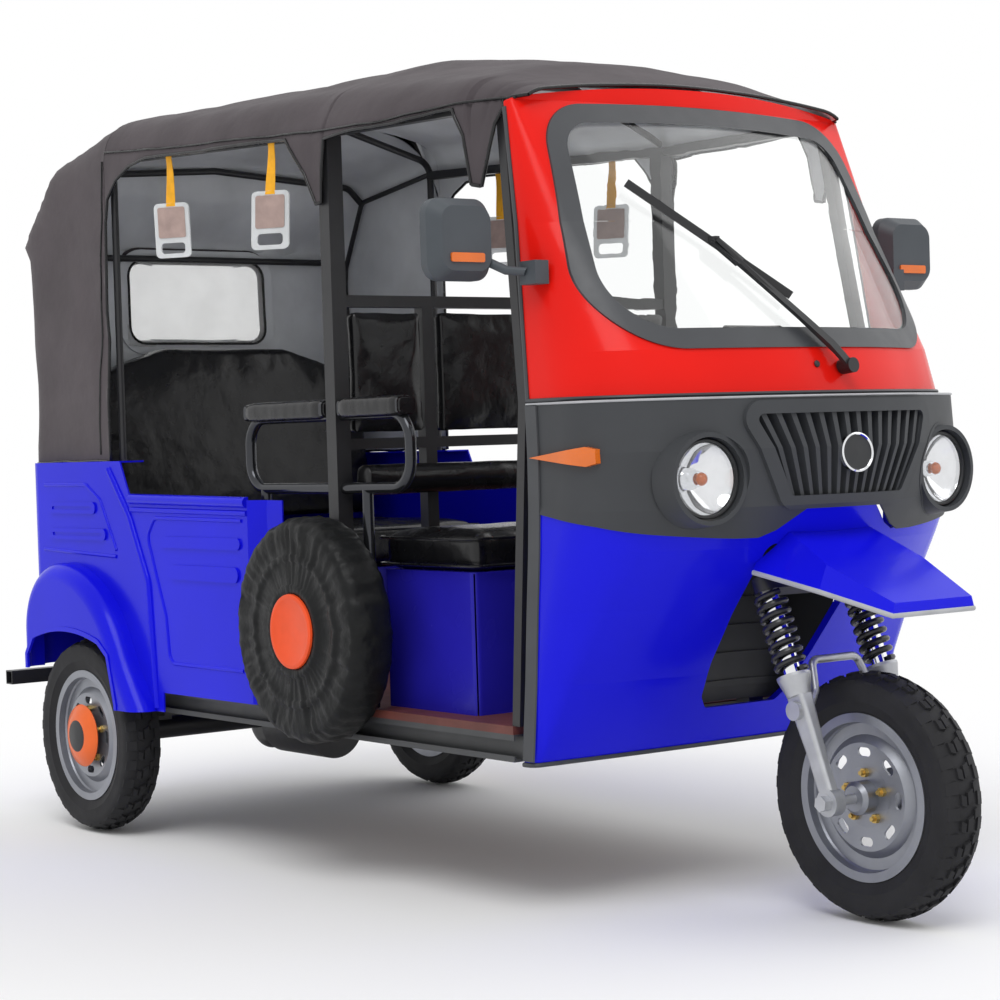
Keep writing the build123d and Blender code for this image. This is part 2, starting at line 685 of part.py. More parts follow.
def rear_window():
    """A clear sheet in the rear wall, following its slope."""
    sheet = rear_slope(1) - rear_slope(3)
    return sheet & front_cut(window_face(0.5), -500, -200)


def roof_at(x, drop):
    """Eave and crown heights of the canopy at one place, lowered by a drop."""
    for low, high in zip(ROOF, ROOF[1:]):
        if x <= high[0]:
            break
    share = (x - low[0]) / (high[0] - low[0])
    return [low[i] + share * (high[i] - low[i]) - drop for i in (1, 2)]


BOW_R = 9


def canopy_bows():
    """Round bows under the cloth: a braced cage at the back and two arches over the cab and the pillars."""
    eave, crown = roof_at(REAR_BOW, CLOTH + 24 + BOW_R)
    half = SIDE_HALF - 10
    hoop = ((-half, BODY_TOP), (-half, eave), (-half * 0.45, crown), (half * 0.45, crown), (half, eave),
            (half, BODY_TOP))
    low = ((-322, -half, BODY_TOP + 1), (-344, -half, 1488), (-344, half, 1488), (-322, half, BODY_TOP + 1))
    high = ((-480, 1650), (-436, 1692), (0, 1722), (436, 1692), (480, 1650))
    cage = [
        rod([(REAR_BOW, y, z) for y, z in hoop], BOW_R, 50),
        rod(low, BOW_R, 60),
        rod([(-228, y, z) for y, z in high], BOW_R, 40),
    ]
    stay = ((-340, half, 1410), (-334, half, 1470), (-228, 482, 1652), (REAR_BOW, half, 1700))
    cage += both(rod(stay, 7, 30))
    bows = [merged(cage)]
    # x of the bow, z of its feet on the hem rails, half-width
    for x, foot, half in ((B_PILLAR, 1668, 482), (1500, 1661, 462)):
        crown = roof_at(x, CLOTH + 30 + BOW_R)[1]
        arch = ((-half, foot), (-half * 0.45, crown), (half * 0.45, crown), (half, foot))
        bows.append(rod([(x, y, z) for y, z in arch], BOW_R, 60))
    return bows


def a_pillar():
    sections = [Pos(x, y, z) * Rectangle(24, 24) for x, y, z in
                ((1702, -486, FLOOR_Z), (1750, -484, 1034), (1655, -446, 1640))]
    return loft(sections, ruled=True)


# Partition behind the driver
PARTITION_X = 1071
PARTITION_TOP = 1290


def cab_frame():
    """Door pillars, hem rails and the framed partition with its posts and bars."""
    pieces = both(a_pillar())
    for sign in (-1, 1):
        y = sorted((sign * 462, sign * SIDE_HALF))
        pieces.append(block((B_PILLAR - 19, B_PILLAR + 19), y, (FLOOR_Z, 1646)))
        rail = ((1664, sign * 448, 1637), (B_PILLAR, sign * HEM_RAIL_Y, 1648),
                (REAR_BOW + BOW_R + 1, sign * HEM_RAIL_Y, 1694))
        for start, end in zip(rail, rail[1:]):
            pieces.append(beam(start, end, 22, 22))
        post = sorted((sign * 226, sign * 256))
        pieces.append(block((PARTITION_X - 15, PARTITION_X + 15), post, (FLOOR_Z, PARTITION_TOP)))
    for low, high in ((PARTITION_TOP - 26, PARTITION_TOP), (950, 974)):
        pieces.append(block((PARTITION_X - 15, PARTITION_X + 15), (-470, 470), (low, high)))
    header = beam((1660, -458, 1636), (1660, 458, 1636), 22, 22)
    return merged(pieces + [header])


def partition_pads():
    """Three padded panels in the partition and a bolster along its foot."""
    pads = []
    for low, high in ((-458, -260), (-222, 222), (260, 458)):
        pad = block((PARTITION_X - 10, PARTITION_X + 26), (low, high), (978, 1260))
        pads.append(fillet(pad.edges().filter_by(Axis.X), 10))
    bolster = block((PARTITION_X + 16, PARTITION_X + 80), (-458, 458), (846, 918))
    pads.append(fillet(bolster.edges().filter_by(Axis.Y), 24))
    return pads


# Rear body
QUARTER_FRONT = 170
PANEL_FRONT = 870
BODY_CORNER = 60
FENDER_ROUND = 40
SIDE_OUTLINE = ((BODY_REAR, BODY_TOP), (QUARTER_FRONT, BODY_TOP), (216, 850), (PANEL_FRONT, 840),
                (PANEL_FRONT, SILL_TOP), (354, SILL_TOP), (354, 326), (0, 326), (0, 405), (BODY_REAR, 405))
# x from, x to, z, height: pressed bars that stand out of the side; a slotted one has a groove along its middle
BARS = (
    (-213, 40, 821, 30, True),
    (-213, 92, 754, 30, True),
    (376, 740, 740, 28, False),
    (414, 728, 668, 36, False),
)
# radius, bend and (x, z) points of the pressed ridges, and last of the rolled rail along the top
RIDGES = (
    (5, 30, ((-240, 881), (-10, 880), (62, 842), (140, 716))),
    (5, 0, ((140, 700), (-252, 713))),
    (9, 60, ((112, 918), (214, 800), (300, 640), (322, 334))),
    (5, 30, ((745, 794), (338, 798), (300, 752), (380, 560), (393, 447), (735, 447))),
    (7, 0, ((224, 818), (770, 811))),
    (13, 0, ((222, 844), (770, 836))),
)


def fender_face():
    """The fender's outline from the side: a dome over the wheel that runs down to the sill in front."""
    back = Line((-288, 250), (-288, 502))
    over = JernArc(back @ 1, back % 1, 178, -90)
    down = JernArc(over @ 1, over % 1, 360, -60)
    front = Line(down @ 1, down @ 1 + (down % 1) * 60)
    foot = JernArc(front @ 1, front % 1, 300, 6)
    toe = foot @ 1 + (foot % 1) * 213
    return make_face([back, over, down, front, foot, Polyline(foot @ 1, toe, (-288, 250))])


def arch_face():
    """The wheel opening in the fender's outer wall."""
    outline = [
        Polyline((-251, 200), (-251, 440), (-215, 484)),
        ThreePointArc((-215, 484), (-51, 509), (136, 485)),
        Polyline((136, 485), (180, 455), (213, 338), (213, 200), (-251, 200)),
    ]
    return make_face(outline)


def fender(inset):
    """The fender as a solid dome out from the body, smaller by the inset."""
    face = offset(fender_face(), -inset) if inset else fender_face()
    inner = BODY_HALF - 60 if inset else BODY_HALF - SKIN
    dome = side_cut(face, inner, FENDER_HALF - inset)
    rim = dome.faces().sort_by(Axis.Y)[-1].edges().filter_by(lambda edge: edge.center().Z > 262)
    return fillet(rim, FENDER_ROUND - inset)


def body_block(inset):
    """The body's left outer corner, rounded in plan and pulled in behind the door opening."""
    y = BODY_HALF - inset
    low = BODY_REAR + inset
    high = PANEL_FRONT + inset
    step = SIDE_HALF + 8 - inset
    plan = profile(((low, y), (770, y), (812, step + 5), (high, step), (high, 300), (low, 300)))
    corner = plan.vertices().group_by(Axis.X)[0].sort_by(Axis.Y)[-1]
    return Pos(0, 0, 250) * extrude(fillet(corner, BODY_CORNER - inset), amount=750)


def rear_body(sign):
    """Side panel, upper quarter and domed fender in one pressing, with bars, ridges and a rolled top rail."""
    hollow = body_block(SKIN) + block((BODY_REAR - 10, PANEL_FRONT + 30), (290, 470), (240, 1010))
    whole = body_block(0) & side_cut(SIDE_OUTLINE, 200, 700)
    for x_from, x_to, z, height, slotted in BARS:
        middle = (x_from + x_to) / 2
        bar = Pos(middle, z) * SlotOverall(x_to - x_from, height)
        whole += side_cut(bar, BODY_HALF - 1, BODY_HALF + 5)
        if slotted:
            whole -= side_cut(Pos(middle, z) * SlotOverall(x_to - x_from - 36, 8), BODY_HALF + 2, BODY_HALF + 9)
    for radius, bend, points in RIDGES:
        whole += rod([(x, BODY_HALF - 1, z) for x, z in points], radius, bend)
    whole += fender(0)
    lip = side_cut(offset(arch_face(), 12) & fender_face(), FENDER_HALF - 1, FENDER_HALF + 3)
    whole += lip
    below = block((BODY_REAR - 10, 0), (400, 650), (200, 405)) + block((0, 400), (536, 650), (200, 326))
    whole -= [hollow, fender(SKIN), side_cut(arch_face(), BODY_HALF + 2, 650), below]
    ledge = block((BODY_REAR + 2, QUARTER_FRONT - 2), (470, BODY_HALF - 2), (BODY_TOP - SKIN, BODY_TOP))
    corner = ledge.edges().filter_by(Axis.Z).sort_by(Axis.X)[:2].sort_by(Axis.Y)[-1]
    whole += fillet(corner, BODY_CORNER - 2)
    return whole if sign > 0 else mirror(whole, about=Plane.XZ)


PLATE_Z = 560
PLATE_HOLES = (180, 60)
PLATE_HOLE_R = 3.5


def rear_panel():
    """The tail panel with a pressed plate field, its four bolt holes and a lower valance."""
    panel = block((BODY_REAR, BODY_REAR + SKIN), (-470, 470), (405, BODY_TOP))
    field = block((BODY_REAR - 6, BODY_REAR + SKIN), (-150, 150), (PLATE_Z - 70, PLATE_Z + 70))
    field = fillet(field.edges().filter_by(Axis.X), 16)
    whole = merged([panel, field, block((BODY_REAR, BODY_REAR + 40), (-470, 470), (BODY_TOP - SKIN, BODY_TOP))])
    for y in (-PLATE_HOLES[0] / 2, PLATE_HOLES[0] / 2):
        for z in (-PLATE_HOLES[1] / 2, PLATE_HOLES[1] / 2):
            whole -= Pos(BODY_REAR, y, PLATE_Z + z) * Rot(0, 90, 0) * Cylinder(PLATE_HOLE_R, 40)
    return whole


def tail_lamps():
    lamps = []
    for sign in (-1, 1):
        y = sorted((sign * 400, sign * 456))
        lamp = block((BODY_REAR - 22, BODY_REAR), y, (640, 800))
        lamps.append(fillet(lamp.edges().filter_by(Axis.X), 14))
    return lamps


DECK_Z = 640
SEAT_FRONT = 330
WELL_Y = 452


def seat_box():
    """The sheet-steel box over the axle: riser, deck and the inner walls of the wheel wells."""
    deck = block((BODY_REAR + SKIN, SEAT_FRONT), (-WELL_Y, WELL_Y), (DECK_Z - 3, DECK_Z))
    riser = block((SEAT_FRONT - 3, SEAT_FRONT), (-WELL_Y, WELL_Y), (FLOOR_Z, DECK_Z - 3))
    wings = []
    for sign in (-1, 1):
        wall = sorted((sign * (WELL_Y - 3), sign * WELL_Y))
        wings.append(block((BODY_REAR + SKIN, SEAT_FRONT - 3), wall, (500, DECK_Z - 3)))
        top = sorted((sign * WELL_Y, sign * (BODY_HALF - SKIN)))
        wings.append(block((-270, SEAT_FRONT), top, (DECK_Z + 6, DECK_Z + 9)))
        wings.append(block((-270, SEAT_FRONT), wall, (DECK_Z - 3, DECK_Z + 9)))
    return merged([deck, riser] + wings)


# Seats and soft parts

def cushion(x, y, z, soft):
    """A plain padded block with rounded edges."""
    pad = block(x, y, z)
    return fillet(pad.edges(), soft)


def rear_bench():
    return cushion((-140, 340), (-448, 448), (DECK_Z + 10, 750), 22)


def rear_backrest():
    """A leaning back cushion whose top shoulders fall away at the sides."""
    shape = ((-232, 756), (-132, 756), (-196, 1248), (-262, 1248))
    pad = side_cut(shape, -445, 445)
    crown = profile(((-450, 700), (450, 700), (450, 1150), (330, 1205), (200, 1248), (-200, 1248),
                     (-330, 1205), (-450, 1150)))
    pad &= front_cut(crown, -400, 0)
    return fillet(pad.faces().sort_by(Axis.X)[-1].edges(), 16)


def battery_box():
    """The sheet-metal box under the driver, open at the bottom."""
    case = block((1170, 1498), (-440, 440), (FLOOR_Z, 688))
    case = fillet(case.edges().filter_by(Axis.Z), 14)
    case -= block((1173, 1495), (-437, 437), (FLOOR_Z - 5, 685))
    return case


def driver_cushion():
    return cushion((1160, 1508), (-446, 446), (690, 770), 20)


# Grab rails, spare wheel and straps
GRAB_Y = 481
GRAB_LOW = 866
GRAB_TOP = 1026


def grab_rail(sign):
    """Two half loops, welded to the pillar's faces, on legs down to the sill, with padded tops."""
    y = sign * GRAB_Y
    halves = []
    for near, far, leg in ((B_PILLAR - 19, 700, 763), (B_PILLAR + 19, 1344, 1178)):
        route = ((near, y, GRAB_LOW), (far, y, GRAB_LOW), (far, y, GRAB_TOP), (near, y, GRAB_TOP))
        loop = rod(route, 12.5, 62)
        foot = rod(((leg, y, FLOOR_Z), (leg, y, GRAB_LOW)), 12.5)
        middle, reach = (near + far) / 2, abs(near - far) / 2
        pad = block((middle - reach + 12, middle + reach - 12), (y - 24, y + 24), (GRAB_TOP - 4, GRAB_TOP + 34))
        pad = fillet(pad.edges().filter_by(Axis.X), 12)
        halves.append(merged([loop, foot, pad]))
    return halves


SPARE_Z = 560
SPARE_R = 250


def spare_wheel():
    """The covered spare on its bracket plate, held to the outside of the right pillar."""
    inner, outer = SIDE_HALF + 14, SIDE_HALF + 122
    face = make_face(
        Polyline((0, inner), (SPARE_R - 20, inner), (SPARE_R, inner + 20), (SPARE_R, outer - 26))
        + ThreePointArc((SPARE_R, outer - 26), (SPARE_R - 8, outer - 8), (SPARE_R - 30, outer - 2))
        + Polyline((SPARE_R - 30, outer - 2), (100, outer), (80, outer - 5), (0, outer - 5), (0, inner))
    )
    wheel = Pos(B_PILLAR, 0, SPARE_Z) * revolve(Plane.XY * face, Axis.Y)
    plate = block((B_PILLAR - 60, B_PILLAR + 60), (SIDE_HALF, inner + 1), (SPARE_Z - 90, SPARE_Z + 90))
    return mirror(merged([wheel, plate]), about=Plane.XZ)


# x, z of the top, lean in degrees: straps under the hem rail on each side
STRAPS = ((396, 1672, -3), (862, 1656, 4))


def hand_straps():
    """A webbing strap with a flat clear grip, two on each side."""
    straps = []
    for sign in (-1, 1):
        for x, top, lean in STRAPS:
            web = block((-13, 13), (-1.5, 1.5), (-118, 0))
            card = Pos(0, 0, -182) * Rot(90, 0, 0) * extrude(RectangleRounded(92, 132, 10), 3, both=True)
            slot = Pos(0, 0, -226) * Rot(90, 0, 0) * extrude(RectangleRounded(64, 26, 8), 9, both=True)
            whole = merged([web, card]) - slot
            straps.append(Pos(x, sign * 500, top) * Rot(0, lean, 0) * whole)
    return straps


NODES = {
    "chassis_frame": chassis_frame,
    "floor_plate": floor_plate,
    "rear_axle": rear_axle,
    "leaf_springs": leaf_springs,
    "rear_bumper": rear_bumper,
    "tyre_front": lambda: tyre(WHEELBASE, 0),
    "rim_front": rim_front,
    "tyre_rear_right": lambda: tyre(0, -TRACK_HALF),
    "rim_rear_right": lambda: rear_rim(-1),
    "tyre_rear_left": lambda: tyre(0, TRACK_HALF),
    "rim_rear_left": lambda: rear_rim(1),
    "fork_legs": fork_legs,
    "fork_springs": fork_springs,
    "fork_clamp": fork_clamp,
    "handlebar": handlebar,
    "front_apron": front_apron,
    "inner_mudguard": inner_mudguard,
    "front_belt": front_belt,
    "headlamps": headlamps,
    "blinkers": blinkers,
    "front_shell": front_shell,
    "windscreen_gasket": windscreen_gasket,
    "windscreen": windscreen,
    "wiper": wiper,
    "mirror_right": lambda: mirror_piece(-1),
    "mirror_left": lambda: mirror_piece(1),
    "beak_fender": beak_fender,
    "dashboard": dashboard,
    "cab_frame": cab_frame,
    "canopy_bows": canopy_bows,
    "canopy": canopy,
    "rear_window": rear_window,
    "rear_body_right": lambda: rear_body(-1),
    "rear_body_left": lambda: rear_body(1),
    "rear_panel": rear_panel,
    "tail_lamps": tail_lamps,
    "seat_box": seat_box,
    "rear_bench": rear_bench,
    "rear_backrest": rear_backrest,
    "battery_box": battery_box,
    "driver_cushion": driver_cushion,
    "partition_pads": partition_pads,
    "grab_rail_right": lambda: grab_rail(-1),
    "grab_rail_left": lambda: grab_rail(1),
    "spare_wheel": spare_wheel,
    "hand_straps": hand_straps,
}

for node, make in NODES.items():
    made = make()
    shapes = made if isinstance(made, list) else [made]
    solids = [Pos(-MID_X, 0, 0) * solid for shape in shapes for solid in shape.solids()]
    export_step(solids[0] if len(solids) == 1 else Compound(children=solids), f"parts/{node}.step")
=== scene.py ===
import math

import bmesh
import bpy
import numpy as np
from mathutils import Matrix, Vector, noise


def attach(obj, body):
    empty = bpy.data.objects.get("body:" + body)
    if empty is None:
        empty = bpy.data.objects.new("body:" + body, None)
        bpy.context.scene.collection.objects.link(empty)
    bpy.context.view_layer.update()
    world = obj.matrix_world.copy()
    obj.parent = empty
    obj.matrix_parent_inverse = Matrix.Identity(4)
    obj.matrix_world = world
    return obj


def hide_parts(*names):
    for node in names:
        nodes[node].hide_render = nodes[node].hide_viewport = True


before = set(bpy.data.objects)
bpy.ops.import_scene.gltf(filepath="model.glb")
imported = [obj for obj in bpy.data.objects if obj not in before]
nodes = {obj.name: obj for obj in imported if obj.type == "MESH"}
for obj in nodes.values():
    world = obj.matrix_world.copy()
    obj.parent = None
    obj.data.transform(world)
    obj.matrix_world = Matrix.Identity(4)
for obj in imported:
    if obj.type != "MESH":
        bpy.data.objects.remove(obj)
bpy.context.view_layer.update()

# Lengths are in millimetres from the rear axle and the ground, as in the part's source; piece() makes metres.
MID_X = 1013.5
WHEELBASE = 2200
AXLE_Z = 245
TRACK_HALF = 530
RAKE = math.radians(21.5)

# z, rear edge x, half-width, x where the bowed front meets the side, x of the front centre, corner radius
SHELL = (
    (1034, 1771, 498, 1954, 2116, 205),
    (1125, 1759, 493, 1926, 2088, 190),
    (1385, 1724, 477, 1792, 1922, 95),
    (1640, 1676, 462, 1693, 1742, 17),
    (1700, 1670, 458, 1688, 1733, 14),
)
BELT = (
    (725, 1768, 500, 1945, 2097, 185),
    (818, 1774, 502, 1976, 2147, 195),
    (930, 1777, 503, 1988, 2170, 195),
    (1030, 1772, 502, 1984, 2158, 195),
)
APRON = (
    (313, 1720, 494, 1748, 1760, 20),
    (475, 1738, 495, 1812, 1875, 60),
    (620, 1752, 497, 1878, 1990, 110),
    (737, 1764, 498, 1940, 2085, 160),
    (822, 1770, 499, 1975, 2138, 170),
)
# x, eave corner z, crown z, half-width
ROOF = (
    (-420, 1650, 1700, 520),
    (-250, 1700, 1742, 516),
    (100, 1765, 1840, 520),
    (800, 1709, 1838, 514),
    (1150, 1694, 1825, 508),
    (1560, 1688, 1752, 490),
    (1722, 1650, 1684, 465),
)
REAR_WALL = ((-345, 941), (-352, 1219), (-364, 1490), (-384, 1508), (-262, 1655), (-250, 1900))
HEM = ((-340, 942), (98, 942), (102, 1538), (117, 1592), (165, 1637), (226, 1665), (313, 1675), (466, 1668),
       (852, 1652), (936, 1645), (1014, 1560), (1050, 1492), (1072, 1492), (1080, 1560), (1087, 1630),
       (1177, 1634), (1349, 1630), (1494, 1637), (1540, 1636), (1572, 1580), (1594, 1478), (1622, 1472),
       (1645, 1544), (1680, 1644), (1720, 1646))
WINDOW = (-212, 218, 1256, 1484)


# Materials

def node(tree, kind, **values):
    made = tree.nodes.new(kind)
    for key, value in values.items():
        if hasattr(made, key):
            setattr(made, key, value)
        else:
            made.inputs[key.replace("_", " ")].default_value = value
    return made


def noise_node(tree, place, scale, detail=3.0):
    made = node(tree, "ShaderNodeTexNoise", Scale=scale, Detail=detail)
    tree.links.new(place.outputs["Object"], made.inputs["Vector"])
    return made.outputs["Fac"]


def material(name, colour, rough=0.5, spread=0.1, scale=9.0, bumps=(), rough_spread=0.08, **sockets):
    """A finish whose colour and roughness vary over the surface.

    A bump is a noise scale, a height in metres and a strength.
    """
    made = bpy.data.materials.new(name)
    made.use_nodes = True
    tree = made.node_tree
    shader = tree.nodes["Principled BSDF"]
    for key, value in sockets.items():
        shader.inputs[key.replace("_", " ")].default_value = value
    place = tree.nodes.new("ShaderNodeTexCoord")
    fac = noise_node(tree, place, scale, 4.0)
    ramp = tree.nodes.new("ShaderNodeValToRGB")
    ramp.color_ramp.elements[0].position = 0.3
    ramp.color_ramp.elements[1].position = 0.7
    ramp.color_ramp.elements[0].color = (*[part * (1 - spread) for part in colour], 1)
    ramp.color_ramp.elements[1].color = (*[min(part * (1 + spread), 1) for part in colour], 1)
    tree.links.new(fac, ramp.inputs["Fac"])
    tree.links.new(ramp.outputs["Color"], shader.inputs["Base Color"])
    spans = tree.nodes.new("ShaderNodeMapRange")
    spans.inputs["To Min"].default_value = max(rough - rough_spread, 0)
    spans.inputs["To Max"].default_value = min(rough + rough_spread, 1)
    tree.links.new(noise_node(tree, place, scale * 2.7, 2.0), spans.inputs["Value"])
    tree.links.new(spans.outputs["Result"], shader.inputs["Roughness"])
    last = None
    for size, height, strength in bumps:
        bump = tree.nodes.new("ShaderNodeBump")
        bump.inputs["Distance"].default_value = height
        bump.inputs["Strength"].default_value = strength
        tree.links.new(noise_node(tree, place, size), bump.inputs["Height"])
        if last:
            tree.links.new(last.outputs["Normal"], bump.inputs["Normal"])
        last = bump
    if last:
        tree.links.new(last.outputs["Normal"], shader.inputs["Normal"])
    return made


PAINT = dict(Coat_Weight=0.06, Coat_Roughness=0.05, Specular_IOR_Level=0.12)
# A finish gives its colour, roughness, spread of colour, noise scale, bumps and spread of roughness
FINISH = {
    "black_steel": material("black_steel", (0.012, 0.012, 0.014), 0.42, bumps=((180, 0.0003, 0.3),)),
    "grey_steel": material("grey_steel", (0.045, 0.047, 0.05), 0.45, bumps=((160, 0.0003, 0.3),)),
    "floor_steel": material("floor_steel", (0.12, 0.03, 0.022), 0.55, 0.25, bumps=((120, 0.0006, 0.4),)),
    "blue_paint": material("blue_paint", (0.007, 0.007, 0.70), 0.22, 0.06, 3.0,
                           ((5, 0.0015, 0.12),), 0.04, **PAINT),
    # A darker copy of the blue paint for the boxes under the seats: painted shade
    "blue_box": material("blue_box", (0.018, 0.014, 0.36), 0.26, 0.12, 4.0,
                         ((6, 0.002, 0.15),), 0.05, **PAINT),
    "blue_moulding": material("blue_moulding", (0.007, 0.007, 0.72), 0.2, 0.05, 3.0,
                              ((4, 0.0015, 0.1),), 0.04, **PAINT),
    "red_moulding": material("red_moulding", (0.78, 0.0105, 0.006), 0.22, 0.05, 3.0,
                             ((4, 0.0015, 0.1),), 0.04, **PAINT),
    "grey_moulding": material("grey_moulding", (0.046, 0.049, 0.054), 0.52, 0.07, 8.0,
                              ((420, 0.0004, 0.45), (12, 0.001, 0.1)), 0.05, Specular_IOR_Level=0.3),
    "mirror_moulding": material("mirror_moulding", (0.062, 0.072, 0.083), 0.5, 0.08, 9.0,
                                ((380, 0.0004, 0.4),), 0.05, Specular_IOR_Level=0.35),
    "black_moulding": material("black_moulding", (0.02, 0.021, 0.023), 0.5, 0.1, 8.0,
                               ((300, 0.0004, 0.4),)),
    "gasket_rubber": material("gasket_rubber", (0.040, 0.043, 0.049), 0.42, 0.08, 10.0,
                              ((90, 0.0004, 0.25),)),
    "clear_glass": material("clear_glass", (0.97, 0.985, 0.98), 0.01, 0.01, 2.0, (), 0.008,
                            Transmission_Weight=1.0, IOR=1.45),
    "lamp_glass": material("lamp_glass", (0.98, 0.98, 0.98), 0.02, 0.01, 2.0, ((40, 0.0006, 0.25),), 0.01,
                           Transmission_Weight=1.0, IOR=1.45),
    "amber_lens": material("amber_lens", (0.74, 0.15, 0.007), 0.18, 0.08, 14.0, ((70, 0.0012, 0.35),), 0.05,
                           Coat_Weight=0.4),
    "red_lens": material("red_lens", (0.42, 0.006, 0.006), 0.18, 0.08, 14.0, ((70, 0.0012, 0.35),), 0.05,
                         Coat_Weight=0.4),
    "tyre_rubber": material("tyre_rubber", (0.017, 0.017, 0.019), 0.66, 0.2, 14.0,
                            ((220, 0.0006, 0.4), (18, 0.0015, 0.2)), Specular_IOR_Level=0.25),
    "silver_rim": material("silver_rim", (0.27, 0.28, 0.31), 0.36, 0.1, 12.0, ((130, 0.0003, 0.3),),
                           Metallic=0.75),
    "cast_alloy": material("cast_alloy", (0.46, 0.47, 0.49), 0.4, 0.1, 22.0,
                           ((260, 0.0005, 0.4),), Metallic=0.7),
    "spring_steel": material("spring_steel", (0.014, 0.014, 0.016), 0.3, bumps=((90, 0.0003, 0.2),)),
    "canopy_cloth": material("canopy_cloth", (0.070, 0.058, 0.064), 0.8, 0.12, 7.0,
                             ((900, 0.0005, 0.5), (26, 0.004, 0.4)),
                             Specular_IOR_Level=0.3, Sheen_Weight=0.08, Sheen_Roughness=0.5),
    "canopy_lining": material("canopy_lining", (0.66, 0.68, 0.70), 0.42, 0.12, 6.0,
                              ((500, 0.0004, 0.4), (16, 0.004, 0.35))),
    "window_film": material("window_film", (0.93, 0.935, 0.93), 0.4, 0.05, 12.0, ((16, 0.003, 0.4),), 0.08,
                            Transmission_Weight=0.75, IOR=1.08),
    "black_vinyl": material("black_vinyl", (0.006, 0.006, 0.007), 0.26, 0.2, 8.0,
                            ((300, 0.0003, 0.3), (20, 0.005, 0.5)), 0.08,
                            Coat_Weight=0.08, Coat_Roughness=0.1, Specular_IOR_Level=0.35),
    "cover_vinyl": material("cover_vinyl", (0.009, 0.0095, 0.010), 0.4, 0.25, 10.0,
                            ((260, 0.0004, 0.3), (24, 0.007, 0.6), (9, 0.010, 0.4)), 0.1,
                            Specular_IOR_Level=0.16),
    "black_chrome": material("black_chrome", (0.05, 0.052, 0.058), 0.16, 0.1, 10.0,
                             ((60, 0.0003, 0.2),), 0.05, Metallic=0.8),
    "strap_webbing": material("strap_webbing", (0.90, 0.42, 0.010), 0.7, 0.12, 40.0, ((700, 0.0006, 0.6),)),
    "bright_chrome": material("bright_chrome", (0.80, 0.81, 0.83), 0.08, 0.04, 20.0, (), 0.03, Metallic=1.0),
    "red_disc": material("red_disc", (0.86, 0.085, 0.016), 0.42, 0.08, 12.0, ((120, 0.0005, 0.3),),
                         Specular_IOR_Level=0.3),
    "zinc_yellow": material("zinc_yellow", (0.55, 0.38, 0.12), 0.3, 0.2, 60.0, (), 0.08, Metallic=0.85),
    "orange_cover": material("orange_cover", (0.83, 0.13, 0.010), 0.35, 0.08, 12.0, ((120, 0.0005, 0.3),)),
    "card": material("card", (0.40, 0.29, 0.26), 0.5, 0.15, 30.0, ((200, 0.0002, 0.3),)),
    "clear_plastic": material("clear_plastic", (0.88, 0.90, 0.91), 0.16, 0.04, 20.0,
                              ((60, 0.0008, 0.3),), 0.05, Transmission_Weight=0.35, IOR=1.3),
    # Pale grey for lines along the ridges of the belt and the bill: painted highlights
    "pale_painted_highlight": material("pale_painted_highlight", (0.42, 0.43, 0.45), 0.5, 0.1, 20.0, ((200, 0.0002, 0.2),)),
}

# The finish of each CAD node that stays
KEPT = {
    "black_steel": "rear_axle leaf_springs rear_bumper fork_clamp handlebar cab_frame canopy_bows wiper",
    "grey_steel": "chassis_frame",
    "floor_steel": "floor_plate",
    "blue_paint": "rear_body_right rear_body_left rear_panel",
    # The boxes under the seats take the darker copy of the blue paint, which is painted shade
    "blue_box": "battery_box seat_box",
    "blue_moulding": "front_apron beak_fender",
    "red_moulding": "front_shell",
    "grey_moulding": "front_belt",
    "black_moulding": "inner_mudguard dashboard",
    "mirror_moulding": "mirror_right mirror_left",
    "gasket_rubber": "windscreen_gasket",
    "clear_glass": "windscreen",
    "amber_lens": "blinkers",
    "red_lens": "tail_lamps",
    "silver_rim": "rim_front rim_rear_right rim_rear_left",
    "cast_alloy": "fork_legs",
    "black_chrome": "grab_rail_right grab_rail_left",
}
for finish, names in KEPT.items():
    for name in names.split():
        mesh = nodes[name].data
        if not mesh.materials:
            mesh.materials.append(FINISH[finish])
        for slot in nodes[name].material_slots:
            slot.material = FINISH[finish]


# Mesh parts, each as (points in mm, faces)

def ring_faces(count, sides, closed=False):
    """Faces between rings of points, with one over each end unless the last ring meets the first."""
    faces = []
    for row in range(count if closed else count - 1):
        a, b = row * sides, (row + 1) % count * sides
        for turn in range(sides):
            after = (turn + 1) % sides
            faces.append((a + turn, a + after, b + after, b + turn))
    if not closed:
        faces.append(tuple(range(sides))[::-1])
        faces.append(tuple(range((count - 1) * sides, count * sides)))
    return faces


def tube(points, radius, sides=10, closed=False, squash=1.0):
    """A round or flattened bar along points, capped unless it closes on itself."""
    points = np.asarray(points, float)
    radius = np.broadcast_to(radius, len(points))
    tangents = np.roll(points, -1, 0) - np.roll(points, 1, 0)
    if not closed:
        tangents[0] = points[1] - points[0]
        tangents[-1] = points[-1] - points[-2]
    tangents /= np.linalg.norm(tangents, axis=1, keepdims=True)
    side = np.array((0, 0, 1.0))
    if abs(side @ tangents[0]) > 0.95:
        side = np.array((1.0, 0.3, 0))
    rings = []
    for point, along, size in zip(points, tangents, radius):
        side = side - along * (side @ along)
        side = side / np.linalg.norm(side)
        other = np.cross(along, side)
        for turn in range(sides):
            angle = 2 * math.pi * turn / sides
            rings.append(point + size * (math.cos(angle) * side + squash * math.sin(angle) * other))
    return rings, ring_faces(len(points), sides, closed)


